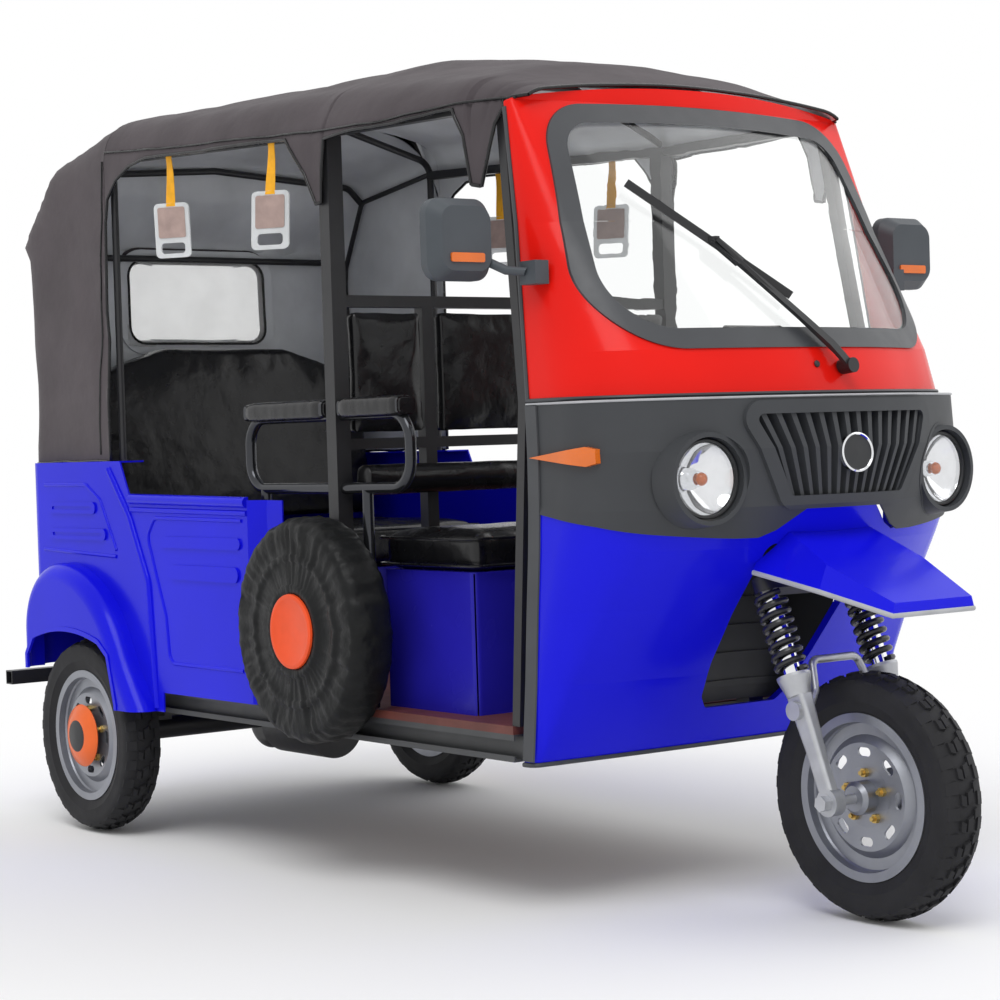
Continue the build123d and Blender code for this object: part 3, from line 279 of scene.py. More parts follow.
def lathe(profile, centre, axis, steps=64, change=None):
    """A section turned about an axis. Its points are (radius, distance along), which change() may move."""
    axis = np.asarray(axis, float) / np.linalg.norm(axis)
    first = np.cross(axis, (0, 0, 1) if abs(axis[2]) < 0.9 else (1, 0, 0))
    first /= np.linalg.norm(first)
    second = np.cross(axis, first)
    points, faces = [], []
    size = len(profile)
    for step in range(steps):
        angle = 2 * math.pi * step / steps
        out = math.cos(angle) * first + math.sin(angle) * second
        for radius, along in profile:
            if change:
                radius, along = change(radius, along, angle)
            points.append(np.asarray(centre) + out * radius + axis * along)
        for turn in range(size - 1):
            a, b = step * size, (step + 1) % steps * size
            faces.append((a + turn, a + turn + 1, b + turn + 1, b + turn))
    return points, faces


def strip(centres, across, out, width, thick, closed=False):
    """A flat strip along centres, with its width along across and its thickness along out."""
    centres, across, out = (np.asarray(values, float) for values in (centres, across, out))
    across = np.broadcast_to(across, centres.shape)
    out = np.broadcast_to(out, centres.shape)
    corners = ((-1, -0.6), (-0.94, 1), (0.94, 1), (1, -0.6), (0.94, -1), (-0.94, -1))
    points = []
    for place in range(len(centres)):
        for u, v in corners:
            points.append(centres[place] + across[place] * u * width / 2 + out[place] * v * thick / 2)
    return points, ring_faces(len(centres), len(corners), closed)


def prism(outline, start, step):
    """A closed outline of 3-D points carried along one step."""
    near = [np.asarray(start, float) + point for point in outline]
    far = [point + np.asarray(step, float) for point in near]
    size = len(outline)
    points = near + far
    faces = [tuple(range(size))[::-1], tuple(range(size, 2 * size))]
    faces += [(turn, (turn + 1) % size, size + (turn + 1) % size, size + turn) for turn in range(size)]
    return points, faces


def piece(name, parts, finishes, body="chassis", stands_for=(), sharp=35, face_out=True):
    """A mesh object from parts; a part may end with the number of its finish."""
    points, faces, index = [], [], []
    for part in parts:
        start = len(points)
        points.extend(((np.asarray(part[0], float) - (MID_X, 0, 0)) / 1000).tolist())
        faces.extend([[start + corner for corner in face] for face in part[1]])
        index.extend([part[2] if len(part) > 2 else 0] * len(part[1]))
    mesh = bpy.data.meshes.new(name)
    mesh.from_pydata(points, [], faces)
    for finish in finishes:
        mesh.materials.append(FINISH[finish])
    mesh.polygons.foreach_set("material_index", index)
    if face_out:
        work = bmesh.new()
        work.from_mesh(mesh)
        bmesh.ops.recalc_face_normals(work, faces=work.faces)
        work.to_mesh(mesh)
        work.free()
    mesh.shade_smooth()
    mesh.set_sharp_from_angle(angle=math.radians(sharp))
    made = bpy.data.objects.new(name, mesh)
    bpy.context.scene.collection.objects.link(made)
    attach(made, body)
    if stands_for:
        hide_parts(*stands_for)
    return made


def settled(made):
    """The object's mesh with its modifiers worked in."""
    graph = bpy.context.evaluated_depsgraph_get()
    mesh = bpy.data.meshes.new_from_object(made.evaluated_get(graph), depsgraph=graph)
    made.modifiers.clear()
    made.data = mesh
    return made


# The nose's plan section, as in the part's source

def between(stations, z):
    for low, high in zip(stations, stations[1:]):
        if z <= high[0]:
            break
    share = (z - low[0]) / (high[0] - low[0])
    return [low[place] + share * (high[place] - low[place]) for place in range(1, 6)]


def nose_x(stations, y, z):
    rear, half, knee, front, corner = between(stations, z)
    sag = front - knee
    radius = (half ** 2 + sag ** 2) / (2 * sag)
    return front - radius + math.sqrt(radius ** 2 - y ** 2)


def nose_line(stations, z, grow=0.0, steps=10):
    """Points round the nose at one height, from its right rear edge to its left rear edge."""
    rear, half, knee, front, corner = between(stations, z)
    sag = front - knee
    radius = (half ** 2 + sag ** 2) / (2 * sag)
    centre = front - radius
    turn_y = half - corner
    turn_x = centre + math.sqrt((radius - corner) ** 2 - turn_y ** 2)
    last = math.atan2(turn_y, turn_x - centre)
    left = [(rear, half + grow), ((rear + turn_x) / 2, half + grow)]
    for step in range(steps + 1):
        angle = math.pi / 2 + (last - math.pi / 2) * step / steps
        left.append((turn_x + (corner + grow) * math.cos(angle),
                     turn_y + (corner + grow) * math.sin(angle)))
    for step in range(1, 2 * steps):
        angle = last * (1 - step / steps / 2)
        left.append((centre + (radius + grow) * math.cos(angle), (radius + grow) * math.sin(angle)))
    middle = [(front + grow, 0.0)]
    right = [(x, -y) for x, y in left]
    return [(x, y, z) for x, y in right + middle + left[::-1]]


def steered(x, y, along):
    """A point given along the raked steering axis, from the front axle upwards."""
    return (WHEELBASE + x * math.cos(RAKE) - along * math.sin(RAKE), y,
            AXLE_Z + x * math.sin(RAKE) + along * math.cos(RAKE))


# Canopy

def table(rows, column, value):
    return np.interp(value, [row[0] for row in rows], [row[column] for row in rows])


def smooth_max(a, b, blend):
    share = np.clip(0.5 + 0.5 * (a - b) / blend, 0, 1)
    return b + (a - b) * share + blend * share * (1 - share)


def outside_canopy(points):
    """Above zero outside the stretched cloth, with rounded eaves and rear corners."""
    x, y, z = points[..., 0], np.abs(points[..., 1]), points[..., 2]
    half = table(ROOF, 3, x)
    eave = table(ROOF, 1, x)
    crown = table(ROOF, 2, x)
    rise = crown - eave
    radius = (half ** 2 + rise ** 2) / (2 * rise)
    arch = crown - radius + np.sqrt(np.maximum(radius ** 2 - y ** 2, 1))
    wall = np.interp(z, [row[1] for row in REAR_WALL], [row[0] for row in REAR_WALL])
    cloth = smooth_max(y - half, (z - arch) * 0.95, 78)
    return smooth_max(cloth, (wall - x) * 0.85, 60)


def wrinkle(point):
    """How far the cloth stands off its stretched form: slack folds and creases, smaller near its front edge.
    """
    x, y, z = point
    folds = noise.noise(Vector((x / 520, y / 150 + z / 210, z / 170)))
    creases = noise.noise(Vector((x / 130 + z / 260, y / 160, z / 300 + 7)))
    fine = noise.noise(Vector((x / 60, y / 55, z / 50 + 3)))
    slack = min(1, 0.12 + abs(1722 - x) / 300)
    return max(2 + slack * (9.5 * folds + 6.0 * creases + 1.8 * fine), -4)


def on_canopy(origin, direction, lift=0.0):
    """Where rays leave the canopy, moved out by its wrinkles and a lift."""
    low = np.zeros(len(direction))
    high = np.full(len(direction), 1600.0)
    for _ in range(34):
        middle = (low + high) / 2
        out = outside_canopy(origin + direction * middle[:, None]) > 0
        high = np.where(out, middle, high)
        low = np.where(out, low, middle)
    found = origin + direction * low[:, None]
    shift = np.array([wrinkle(point) for point in found])
    return found + direction * (shift + lift)[:, None]


def hem_z(x):
    return float(np.interp(x, [row[0] for row in HEM], [row[1] for row in HEM]))


CORE_Z = 1390
ROWS = 46
REAR_FOOT = 942
FAN_X = 98.0
# Slices across the roof, closer together where the side's front edge turns; then a fan round the rear
slices = set(np.arange(100, 1718, 22.0).tolist()) | {float(row[0]) for row in HEM[1:]}
slices |= {FAN_X, 99.0, 100.5, 105.0, 108.0, 112.0}
stations = [(x, 0.0) for x in sorted(slices, reverse=True)]
stations += [(FAN_X, float(turn)) for turn in np.linspace(0, 90, 47)[1:]]
half_rows = []
for x, turn in stations:
    angle = math.radians(turn)
    level = np.array((-math.sin(angle), -math.cos(angle), 0.0))
    hem = hem_z(x) if turn == 0 else REAR_FOOT
    foot_origin = np.array((x, 0.0, hem))
    low, high = 0.0, 1600.0
    for _ in range(34):
        middle = (low + high) / 2
        if outside_canopy(foot_origin + level * middle) > 0:
            high = middle
        else:
            low = middle
    start = math.atan2(hem - CORE_Z, low)
    rise = np.linspace(start, math.pi / 2, ROWS)
    direction = np.outer(np.cos(rise), level) + np.outer(np.sin(rise), (0, 0, 1.0))
    half_rows.append((np.array((x, 0.0, CORE_Z)), direction))
rows = []
for origin, direction in half_rows:
    rows.append(on_canopy(origin, direction))
for origin, direction in half_rows[-2::-1]:
    rows.append(on_canopy(origin, direction * (1, -1, 1)))
cloth_points = [point for row in rows for point in row]
cloth_faces = []
for place in range(len(rows) - 1):
    for row in range(ROWS - 1):
        a = place * ROWS + row
        b = a + ROWS
        corners = (a, a + 1, b + 1, b)
        middle = np.mean([cloth_points[corner] for corner in corners], axis=0)
        across = WINDOW[0] < middle[1] < WINDOW[1]
        if not (middle[0] < -300 and across and WINDOW[2] < middle[2] < WINDOW[3]):
            cloth_faces.append(corners)
canopy = piece("canopy_sheet", [(cloth_points, cloth_faces)], ["canopy_cloth", "canopy_lining"],
               stands_for=("canopy",), sharp=60, face_out=False)
work = bmesh.new()
work.from_mesh(canopy.data)
bmesh.ops.remove_doubles(work, verts=work.verts, dist=0.0006)
bmesh.ops.dissolve_degenerate(work, edges=work.edges, dist=0.0002)
bmesh.ops.recalc_face_normals(work, faces=work.faces)
top = max(work.faces, key=lambda face: face.calc_center_median().z)
if top.normal.z < 0:
    bmesh.ops.reverse_faces(work, faces=work.faces)
sheet_area = sum(face.calc_area() for face in work.faces)
work.to_mesh(canopy.data)
work.free()
thick = canopy.modifiers.new("thickness", "SOLIDIFY")
thick.thickness = 0.003
thick.offset = -1
thick.material_offset = 1
settled(canopy)
canopy.data.shade_smooth()
canopy.data.set_sharp_from_angle(angle=math.radians(60))

hem_line = [row[0] for row in rows]
hem_cord = tube(hem_line, 4.0, 8)


def side_line(points, sign, lift=1.5, step=22.0):
    """A line on the canopy's side through (x, z) points."""
    dense = []
    for (x0, z0), (x1, z1) in zip(points, points[1:]):
        count = max(2, int(math.hypot(x1 - x0, z1 - z0) / step))
        dense += [(x0 + (x1 - x0) * part / count, z0 + (z1 - z0) * part / count) for part in range(count)]
    dense.append(points[-1])
    found = []
    for x, z in dense:
        origin = np.array((x, 0.0, CORE_Z))
        half = table(ROOF, 3, x)
        angle = math.atan2(z - CORE_Z, half)
        direction = np.array([(0.0, sign * math.cos(angle), math.sin(angle))])
        found.append(on_canopy(origin, direction, lift)[0])
    return found


SEAM = ((104, 1714), (392, 1690), (660, 1677), (1026, 1654), (1292, 1640), (1459, 1646), (1700, 1654))
QUARTER_SEAM = ((93, 1690), (70, 1300), (46, 960))
seam_parts = [tube(side_line(line, sign), 2.6, 6) for sign in (-1, 1) for line in (SEAM, QUARTER_SEAM)]
front_edge = rows[0].tolist() + rows[-1].tolist()[::-1]
piping = piece("canopy_piping", [hem_cord, tube(front_edge, 4.0, 8)] + seam_parts, ["black_vinyl"],
               sharp=60)

# Rear window: wrinkled film behind a sewn border
WIN_STEPS = 30
film = []
for row in range(WIN_STEPS + 1):
    z = WINDOW[2] - 8 + (WINDOW[3] - WINDOW[2] + 16) * row / WIN_STEPS
    for column in range(WIN_STEPS + 1):
        y = WINDOW[0] - 8 + (WINDOW[1] - WINDOW[0] + 16) * column / WIN_STEPS
        x = float(np.interp(z, [spot[1] for spot in REAR_WALL], [spot[0] for spot in REAR_WALL])) + 3
        dent = noise.noise(Vector((y / 70, z / 50, 0))) * 4 + noise.noise(Vector((y / 24, z / 30, 5))) * 1.6
        film.append((x + 4 + dent, y, z))
film_faces = []
for row in range(WIN_STEPS):
    for column in range(WIN_STEPS):
        a = row * (WIN_STEPS + 1) + column
        film_faces.append((a, a + 1, a + WIN_STEPS + 2, a + WIN_STEPS + 1))
window = piece("rear_window_film", [(film, film_faces)], ["window_film"], stands_for=("rear_window",),
               sharp=80, face_out=False)
thick = window.modifiers.new("thickness", "SOLIDIFY")
thick.thickness = 0.0012
settled(window)


def rounded_loop(low_y, high_y, low_z, high_z, radius, steps=6):
    """Points round a rectangle with round corners, as (y, z)."""
    points = []
    for (y, z, start) in ((high_y - radius, high_z - radius, 0), (low_y + radius, high_z - radius, 90),
                          (low_y + radius, low_z + radius, 180), (high_y - radius, low_z + radius, 270)):
        for step in range(steps + 1):
            angle = math.radians(start + 90 * step / steps)
            points.append((y + radius * math.cos(angle), z + radius * math.sin(angle)))
    return points


border = []
for y, z in rounded_loop(*WINDOW, 44):
    x = float(np.interp(z, [spot[1] for spot in REAR_WALL], [spot[0] for spot in REAR_WALL]))
    border.append((x, y, z))
loop = np.array(border)
dense = []
for start, end in zip(loop, np.roll(loop, -1, 0)):
    count = max(1, int(np.linalg.norm(end - start) / 25))
    dense += [start + (end - start) * part / count for part in range(count)]
dense = np.array(dense)
along = np.roll(dense, -1, 0) - np.roll(dense, 1, 0)
along /= np.linalg.norm(along, axis=1, keepdims=True)
outwards = np.cross(along, (1.0, 0, 0))
dense += np.array([wrinkle(point) * 0.6 for point in dense])[:, None] * (-1.0, 0, 0)
border_piece = piece("rear_window_border", [
    (*strip(dense + outwards * 14 - (5, 0, 0), outwards, (1.0, 0, 0), 46, 4, closed=True), 0),
    (*strip(dense + outwards * 16 + (8, 0, 0), outwards, (1.0, 0, 0), 30, 3, closed=True), 1),
    (*tube(dense + (10, 0, 0), 3.6, 8, closed=True), 2),
    (*tube(dense + outwards * 34 - (7, 0, 0), 3.2, 8, closed=True), 2),
], ["canopy_cloth", "canopy_lining", "black_vinyl"], sharp=60)


# Seats: the CAD pads, swollen as cloth

def padded(node_name, name, voxel, cap, pressure=4.0):
    made = bpy.data.objects.new(name, nodes[node_name].data.copy())
    bpy.context.scene.collection.objects.link(made)
    made.data.materials.clear()
    made.data.materials.append(FINISH["black_vinyl"])
    remesh = made.modifiers.new("remesh", "REMESH")
    remesh.mode = "VOXEL"
    remesh.voxel_size = voxel
    settled(made)
    work = bmesh.new()
    work.from_mesh(made.data)
    work.normal_update()
    for vert in work.verts:
        place = vert.co * 1000
        vert.co -= vert.normal * (0.003 + 0.0016 * noise.noise(place / 60))
    work.to_mesh(made.data)
    work.free()
    cloth = made.modifiers.new("cloth", "CLOTH")
    settings = cloth.settings
    settings.quality = 5
    settings.use_pressure = True
    settings.uniform_pressure_force = pressure
    settings.effector_weights.gravity = 0
    settings.tension_stiffness = 12
    settings.compression_stiffness = 12
    settings.bending_stiffness = 0.4
    cloth.point_cache.frame_start = 1
    cloth.point_cache.frame_end = 20
    for step in range(1, 21):
        bpy.context.scene.frame_set(step)
    graph = bpy.context.evaluated_depsgraph_get()
    moved = made.evaluated_get(graph).to_mesh()
    new = np.empty(len(moved.vertices) * 3)
    moved.vertices.foreach_get("co", new)
    old = np.empty(len(made.data.vertices) * 3)
    made.data.vertices.foreach_get("co", old)
    shift = (new - old).reshape(-1, 3)
    length = np.linalg.norm(shift, axis=1, keepdims=True) + 1e-9
    shift *= np.minimum(length, cap) / length
    made.modifiers.clear()
    made.data.vertices.foreach_set("co", (old.reshape(-1, 3) + shift).ravel())
    bpy.context.scene.frame_set(1)
    finer = made.modifiers.new("finer", "SUBSURF")
    finer.levels = finer.render_levels = 1
    settled(made)
    made.data.shade_smooth()
    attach(made, "chassis")
    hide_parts(node_name)
    return made


padded("rear_bench", "bench_cushion", 0.012, 0.012)
padded("rear_backrest", "backrest_cushion", 0.012, 0.012)
padded("driver_cushion", "driver_seat", 0.011, 0.011)
padded("partition_pads", "partition_cushions", 0.009, 0.007)


def seam_box(x, y, z, radius):
    """Points round the edge of a pad, in the plane z."""
    return [(px, py, z) for px, py in rounded_loop(*x, *y, radius)]


cords = [
    tube(seam_box((1156, 1512), (-450, 450), 758, 30), 3.2, 6, closed=True),
    tube(seam_box((1156, 1512), (-450, 450), 701, 30), 3.2, 6, closed=True),
    tube(seam_box((-144, 345), (-452, 452), 738, 30), 3.2, 6, closed=True),
]
piece("seat_piping", cords, ["black_vinyl"])

# Padded sleeves over the rails' tops, fuller in the middle than at their ends
SLEEVE_RINGS = 23
sleeves = []
for sign in (-1, 1):
    for rear, front in ((708, 1044), (1098, 1336)):
        points = []
        for step in range(SLEEVE_RINGS):
            share = step / (SLEEVE_RINGS - 1)
            full = min(1.0, 0.72 + 4 * min(share, 1 - share))
            gather = 1 + 0.02 * math.sin(step * 2.3)
            for y, z in rounded_loop(-27, 27, -22, 22, 14, 4):
                x = rear + (front - rear) * share
                points.append((x, sign * 481 + y * full * gather, 1041 + z * full))
        sleeves.append((points, ring_faces(SLEEVE_RINGS, len(points) // SLEEVE_RINGS)))
sleeve = piece("rail_sleeves", sleeves, ["black_vinyl"], sharp=50)


# Tyres

def tread_radius(y):
    return 245 - 12 * (abs(y) / 42) ** 2


def tyre(name, x, y, body, stands_for):
    profile = [(152, -36), (164, -37), (172, -42), (186, -47), (188, -48.6), (192, -48.8), (195, -48.4),
               (210, -50), (222, -49), (229, -46), (232, -42), (237, -18), (238, 0)]
    profile += [(radius, -along) for radius, along in profile[-2::-1]]
    parts = [lathe(profile + [profile[0]], (x, y, AXLE_Z), (0, 1, 0), 96)]
    pitches = 30
    # y and turn (in pitches) of a block's four corners
    blocks = (
        ((24, 0.04), (48.5, 0.00), (48.5, 0.56), (24, 0.62)),
        ((13, 0.52), (21, 0.62), (21, 1.02), (13, 0.92)),
        ((-6, 0.08), (10, 0.22), (10, 0.74), (-6, 0.60)),
        ((-21, 0.12), (-9, 0.02), (-9, 0.46), (-21, 0.56)),
        ((-48.5, 0.50), (-24, 0.54), (-24, 1.08), (-48.5, 1.04)),
    )
    for pitch in range(pitches):
        for block in blocks:
            points = []
            for level in (0, 1):
                middle_y = sum(spot[0] for spot in block) / 4
                middle_t = sum(spot[1] for spot in block) / 4
                for along, turn in block:
                    if level:
                        along = middle_y + (along - middle_y) * 0.9
                        turn = middle_t + (turn - middle_t) * 0.88
                    top = tread_radius(min(abs(along), 48)) - (0.5 if level else 0)
                    radius = top if level else min(top - 9, 235 if abs(along) < 40 else 222)
                    angle = 2 * math.pi * (pitch + turn) / pitches
                    points.append((x + radius * math.cos(angle), y + along,
                                   AXLE_Z + radius * math.sin(angle)))
            walls = [(c, (c + 1) % 4, (c + 1) % 4 + 4, c + 4) for c in range(4)]
            parts.append((points, [(0, 1, 2, 3), (4, 5, 6, 7)] + walls))
    return piece(name, parts, ["tyre_rubber"], body, stands_for=(stands_for,), sharp=30)


tyre("front_tyre", WHEELBASE, 0, "front_wheel", "tyre_front")
tyre("rear_tyre_right", 0, -TRACK_HALF, "rear_wheel_right", "tyre_rear_right")
tyre("rear_tyre_left", 0, TRACK_HALF, "rear_wheel_left", "tyre_rear_left")


def nuts(name, centre, out, face_y, radius, count, body, finish="zinc_yellow"):
    """Hexagon nuts on studs in a circle about an axle."""
    parts = []
    for place in range(count):
        angle = 2 * math.pi * place / count + 0.3
        middle = np.array((centre[0] + radius * math.cos(angle), face_y,
                           centre[2] + radius * math.sin(angle)))
        for size, length in ((9.5, 9), (5, 17)):
            corners = [t * math.pi / 3 for t in range(6)]
            outline = [np.array((size * math.cos(t), 0, size * math.sin(t))) for t in corners]
            parts.append(prism(outline, middle, (0, out * length, 0)))
    return piece(name, parts, [finish], body, sharp=20)


nuts("front_wheel_nuts", (WHEELBASE, 0, AXLE_Z), -1, -26.5, 48, 5, "front_wheel")
for name, sign in (("right", -1), ("left", 1)):
    body = "rear_wheel_" + name
    nuts("rear_wheel_nuts_" + name, (0, 0, AXLE_Z), sign, sign * (TRACK_HALF + 26.5), 66, 5, body)
    cap = [(0.01, 58), (44, 58), (52, 55), (70, 47), (77, 46), (79, 49), (75, 54), (54, 63), (42, 67),
           (0.01, 66)]
    inlay = [(0.01, 63), (38, 63), (40, 67), (34, 70), (0.01, 71)]
    centre = (0, sign * TRACK_HALF, AXLE_Z)
    piece("hub_cap_" + name, [
        (*lathe(cap, centre, (0, sign, 0), 48), 0),
        (*lathe(inlay, centre, (0, sign, 0), 32), 1),
    ], ["orange_cover", "black_moulding"], body, sharp=40)


# Spare wheel in its cover, and the bracket

def puckered(radius, along, angle):
    spot = Vector((math.cos(angle) * 2.6, math.sin(angle) * 2.6, along / 60))
    if radius < 60:
        return radius, along
    amount = min(1, (radius - 60) / 150)
    folds = 8 * noise.noise(spot * 2.2) + 6 * noise.noise(spot * 5.5 + Vector((0, 0, radius / 70)))
    gathers = 2.6 * abs(math.sin(17 * angle + 2 * math.sin(3 * angle)))
    if radius > 225:
        return radius - abs(folds) - gathers, along
    return radius, along - amount * (abs(folds) + 0.6 * gathers)


cover_profile = [
    (0.01, 117), (60, 117), (82, 117.5), (86, 121), (100, 122), (104, 117), (140, 117.5), (150, 118),
    (154, 121), (166, 121.5), (170, 118), (190, 119), (206, 121), (220, 120), (232, 116), (241, 108),
    (247, 96), (250, 80), (250, 60), (250, 44), (247, 28), (240, 18), (228, 14), (0.01, 14),
]
spare = piece("spare_cover", [lathe(cover_profile, (1071, -500, 560), (0, -1, 0), 200, puckered)],
              ["cover_vinyl"], stands_for=("spare_wheel",), sharp=60)
disc = lathe([(0.01, 116), (79, 116), (82, 119), (81, 124), (76, 126), (70, 125), (66, 123), (0.01, 122)],
             (1071, -500, 560), (0, -1, 0), 64)
piece("spare_disc", [disc], ["red_disc"], sharp=40)
plate = [np.array((x, 0, z)) for x, z in rounded_loop(-60, 60, -90, 90, 10)]
piece("spare_bracket", [prism(plate, (1071, -500, 560), (0, -15, 0))], ["black_steel"], sharp=30)


# Front lamps
LAMP = (2090, 326, 875, math.radians(5))
for name, sign in (("right", -1), ("left", 1)):
    centre = np.array((LAMP[0], sign * LAMP[1], LAMP[2]))
    axis = (math.cos(LAMP[3]), sign * math.sin(LAMP[3]), 0)
    bowl = [(10, -34), (24, -31), (40, -24), (54, -15), (64, -7), (69, -1), (72, -1), (66, -9), (55, -17),
            (40, -27), (24, -34), (10, -36), (10, -34)]
    ring = [(69, -3), (69, 4), (71, 7.5), (75, 7.5), (77, 4), (77, -3), (69, -3)]
    outer = [(0.01, 8)] + [(radius, 8 - 5 * (radius / 70) ** 3) for radius in (15, 30, 42, 52, 60, 66, 70)]
    inner = [(radius, along - 2) for radius, along in outer[::-1]]
    bulb = [(0.01, 0), (6, -1), (11, -5), (13, -10), (10, -17), (7, -24), (0.01, -24)]
    holder = [(0.01, -20), (13, -20), (16, -24), (17, -34), (0.01, -34)]
    piece("headlamp_" + name, [
        (*lathe(bowl, centre, axis, 64), 0),
        (*lathe(ring, centre, axis, 64), 1),
        (*lathe(outer + inner, centre, axis, 64), 2),
        (*lathe(bulb, centre, axis, 24), 3),
        (*lathe(holder, centre, axis, 24), 0),
    ], ["bright_chrome", "black_moulding", "lamp_glass", "amber_lens"],
        stands_for=("headlamps",) if sign < 0 else (), sharp=40)

# Round badge on the grille, left bare
badge = (nose_x(BELT, 0, 916) + 3, 0, 916)
piece("grille_badge", [
    (*lathe([(0.01, 0), (35, 0), (35, 6), (0.01, 8)], badge, (1, -0.12, 0.05), 48), 0),
    (*lathe([(34, 1), (34, 8), (36, 10), (39, 8), (40, 1), (34, 1)], badge, (1, -0.12, 0.05), 48), 1),
], ["black_moulding", "bright_chrome"], sharp=40)


# Trim on the mouldings, and pale lines along the belt's top and the bill's edge, which are painted highlights
def rear_edge(stations, z, x_shift=0.0, out=0.0):
    rear, half = between(stations, z)[:2]
    return [(rear + x_shift, sign * (half + out), z) for sign in (-1, 1)]


shell_foot = nose_line(SHELL, 1036, 1.5)
belt_top = nose_line(BELT, 1029, 0.5)
apron_foot = nose_line(APRON, 315, 1.0)
edges = [rear_edge(SHELL, z, 2, 0) for z in np.linspace(1038, 1625, 24)]
strips = [rear_edge(APRON, z, 16, 2) for z in np.linspace(322, 815, 16)]
strips += [rear_edge(BELT, z, 16, 2) for z in np.linspace(830, 1026, 8)]
trim_parts = [tube(shell_foot, 4, 8), tube(apron_foot, 5, 8)]
for sign in (0, 1):
    out = (0, (-1, 1)[sign], 0)
    trim_parts.append(tube([spot[sign] for spot in edges], 5.5, 8))
    trim_parts.append(strip([spot[sign] for spot in strips], (1, 0, 0), out, 36, 4))
piece("edge_trim", trim_parts, ["gasket_rubber"], sharp=40)
# A pale line along the belt's top edge: a painted highlight
piece("belt_top_painted_highlight", [tube(belt_top, 2.4, 6)], ["pale_painted_highlight"], sharp=60)

# A pale line along the bill's edge: a painted highlight
bill = [(2048, 168, 684), (2216, 154, 650), (2365, 112, 607)]
bill_line = [(x, -y, z + 3) for x, y, z in bill] + [(x, y, z + 3) for x, y, z in bill[::-1]]
dense = []
for start, end in zip(bill_line, bill_line[1:]):
    dense += [tuple(np.array(start) + (np.array(end) - start) * part / 8) for part in range(8)]
dense.append(bill_line[-1])
piece("bill_edge_painted_highlight", [tube(dense, 5.0, 8, squash=0.7)], ["pale_painted_highlight"], sharp=50)

# The wiper's sprung arm and its nut
arm = []
for share in np.linspace(0, 1, 12):
    y, z = 36 - 203 * share, 1084 + 261 * share
    arm.append((nose_x(SHELL, y, z) + 30 - 6 * share, y, z))
arm = np.array(arm)
across = np.cross(arm[-1] - arm[0], (1, 0, 0.35))
across = across / np.linalg.norm(across) * np.linspace(1.0, 0.62, 12)[:, None]
piece("wiper_arm", [strip(arm, across, (0.94, 0, 0.33), 19, 9),
                    strip(arm[-3:] + (3, 0, 0), across[-3:], (0.94, 0, 0.33), 34, 12)],
      ["black_moulding"], sharp=40)
washer = (nose_x(SHELL, -28, 1092) + 1, -28, 1092)
piece("washer_jet", [lathe([(0.01, 0), (7, 0), (7, 2), (5, 4), (0.01, 4)], washer, (1, 0, 0.2), 20)],
      ["black_moulding"], sharp=40)

# Mirror reflectors
reflectors = []
for sign in (-1, 1):
    loop = [np.array((0, y, z)) for y, z in rounded_loop(-40, 40, -9, 9, 4, 3)]
    reflectors.append(prism(loop, (1752, sign * 622, 1316), (7, 0, 0)))
piece("mirror_reflectors", reflectors, ["amber_lens"], sharp=30)

# Fork coils over bright tubes
coils, tubes = [], []
for sign in (-1, 1):
    points = []
    for step in range(8 * 24 + 1):
        angle = 2 * math.pi * step / 24
        points.append(steered(28 * math.cos(angle), sign * 122 + 28 * math.sin(angle),
                              265 + 158 * step / 192))
    coils.append((*tube(points, 6, 8), 0))
    tubes.append((*tube([steered(0, sign * 122, along) for along in (258, 300, 360, 430)], 18, 24), 1))
piece("fork_coils", coils + tubes, ["spring_steel", "bright_chrome"], "steering",
      stands_for=("fork_springs",), sharp=40)

# Rubber grips with ribs
grips = []
for sign in (-1, 1):
    start, end = (np.array((-50, sign * 190, 962.0)), np.array((-150, sign * 330, 942.0)))
    unit = (end - start) / np.linalg.norm(end - start)
    points, radii = [], []
    for step in range(53):
        spot = end - unit * 125 + unit * (131 * step / 52)
        points.append(steered(*spot))
        radii.append(18.5 if step % 4 in (1, 2) or step in (0, 52) else 17.0)
    grips.append(tube(points, radii, 16))
piece("handlebar_grips", grips, ["gasket_rubber"], "steering", sharp=50)

# Hand straps: webbing, a clear grip with its slot, and a bare card
strap_parts = []
for sign in (-1, 1):
    for x, top, lean in ((396, 1672, -3), (862, 1656, 4)):
        tilt = math.radians(lean)

        def hung(u, v, out=0.0):
            """A point u across the strap, v below its top and out to the side; it twists as it hangs."""
            twist = math.radians(34) * min(max((v - 20) / 100, 0), 1)
            across = u * math.cos(twist) - out * math.sin(twist)
            off = u * math.sin(twist) + out * math.cos(twist)
            return (x + across * math.cos(tilt) - v * math.sin(tilt), sign * 500 + off,
                    top - v * math.cos(tilt))

        wave = np.array([hung(0, v, 2.5 * math.sin(v / 30)) for v in np.linspace(-6, 124, 16)])
        edge = np.array([hung(1, v, 2.5 * math.sin(v / 30)) for v in np.linspace(-6, 124, 16)]) - wave
        face = np.array([hung(0, v, 2.5 * math.sin(v / 30) + 1) for v in np.linspace(-6, 124, 16)]) - wave
        strap_parts.append((*strip(wave, edge, face, 25, 2.6), 0))
        outer = rounded_loop(-46, 46, 116, 248, 12)
        inner = rounded_loop(-32, 32, 212, 238, 9)
        size = len(outer)
        points = [hung(u, v, level) for level in (-3, 3) for loop in (outer, inner) for u, v in loop]
        faces = []
        for turn in range(size):
            nxt = (turn + 1) % size
            faces.append((turn, nxt, size + nxt, size + turn))
            faces.append((2 * size + turn, 2 * size + nxt, 3 * size + nxt, 3 * size + turn))
            faces.append((turn, nxt, 2 * size + nxt, 2 * size + turn))
            faces.append((size + turn, size + nxt, 3 * size + nxt, 3 * size + turn))
        strap_parts.append((points, faces, 1))
        for face_out in (-1, 1):
            card = [np.array(hung(u, v, face_out * 3.6)) for u, v in rounded_loop(-36, 36, 126, 200, 5)]
            step = np.array(hung(0, 160, face_out * 4.4)) - hung(0, 160, face_out * 3.6)
            strap_parts.append((*prism(card, (0, 0, 0), step), 2))
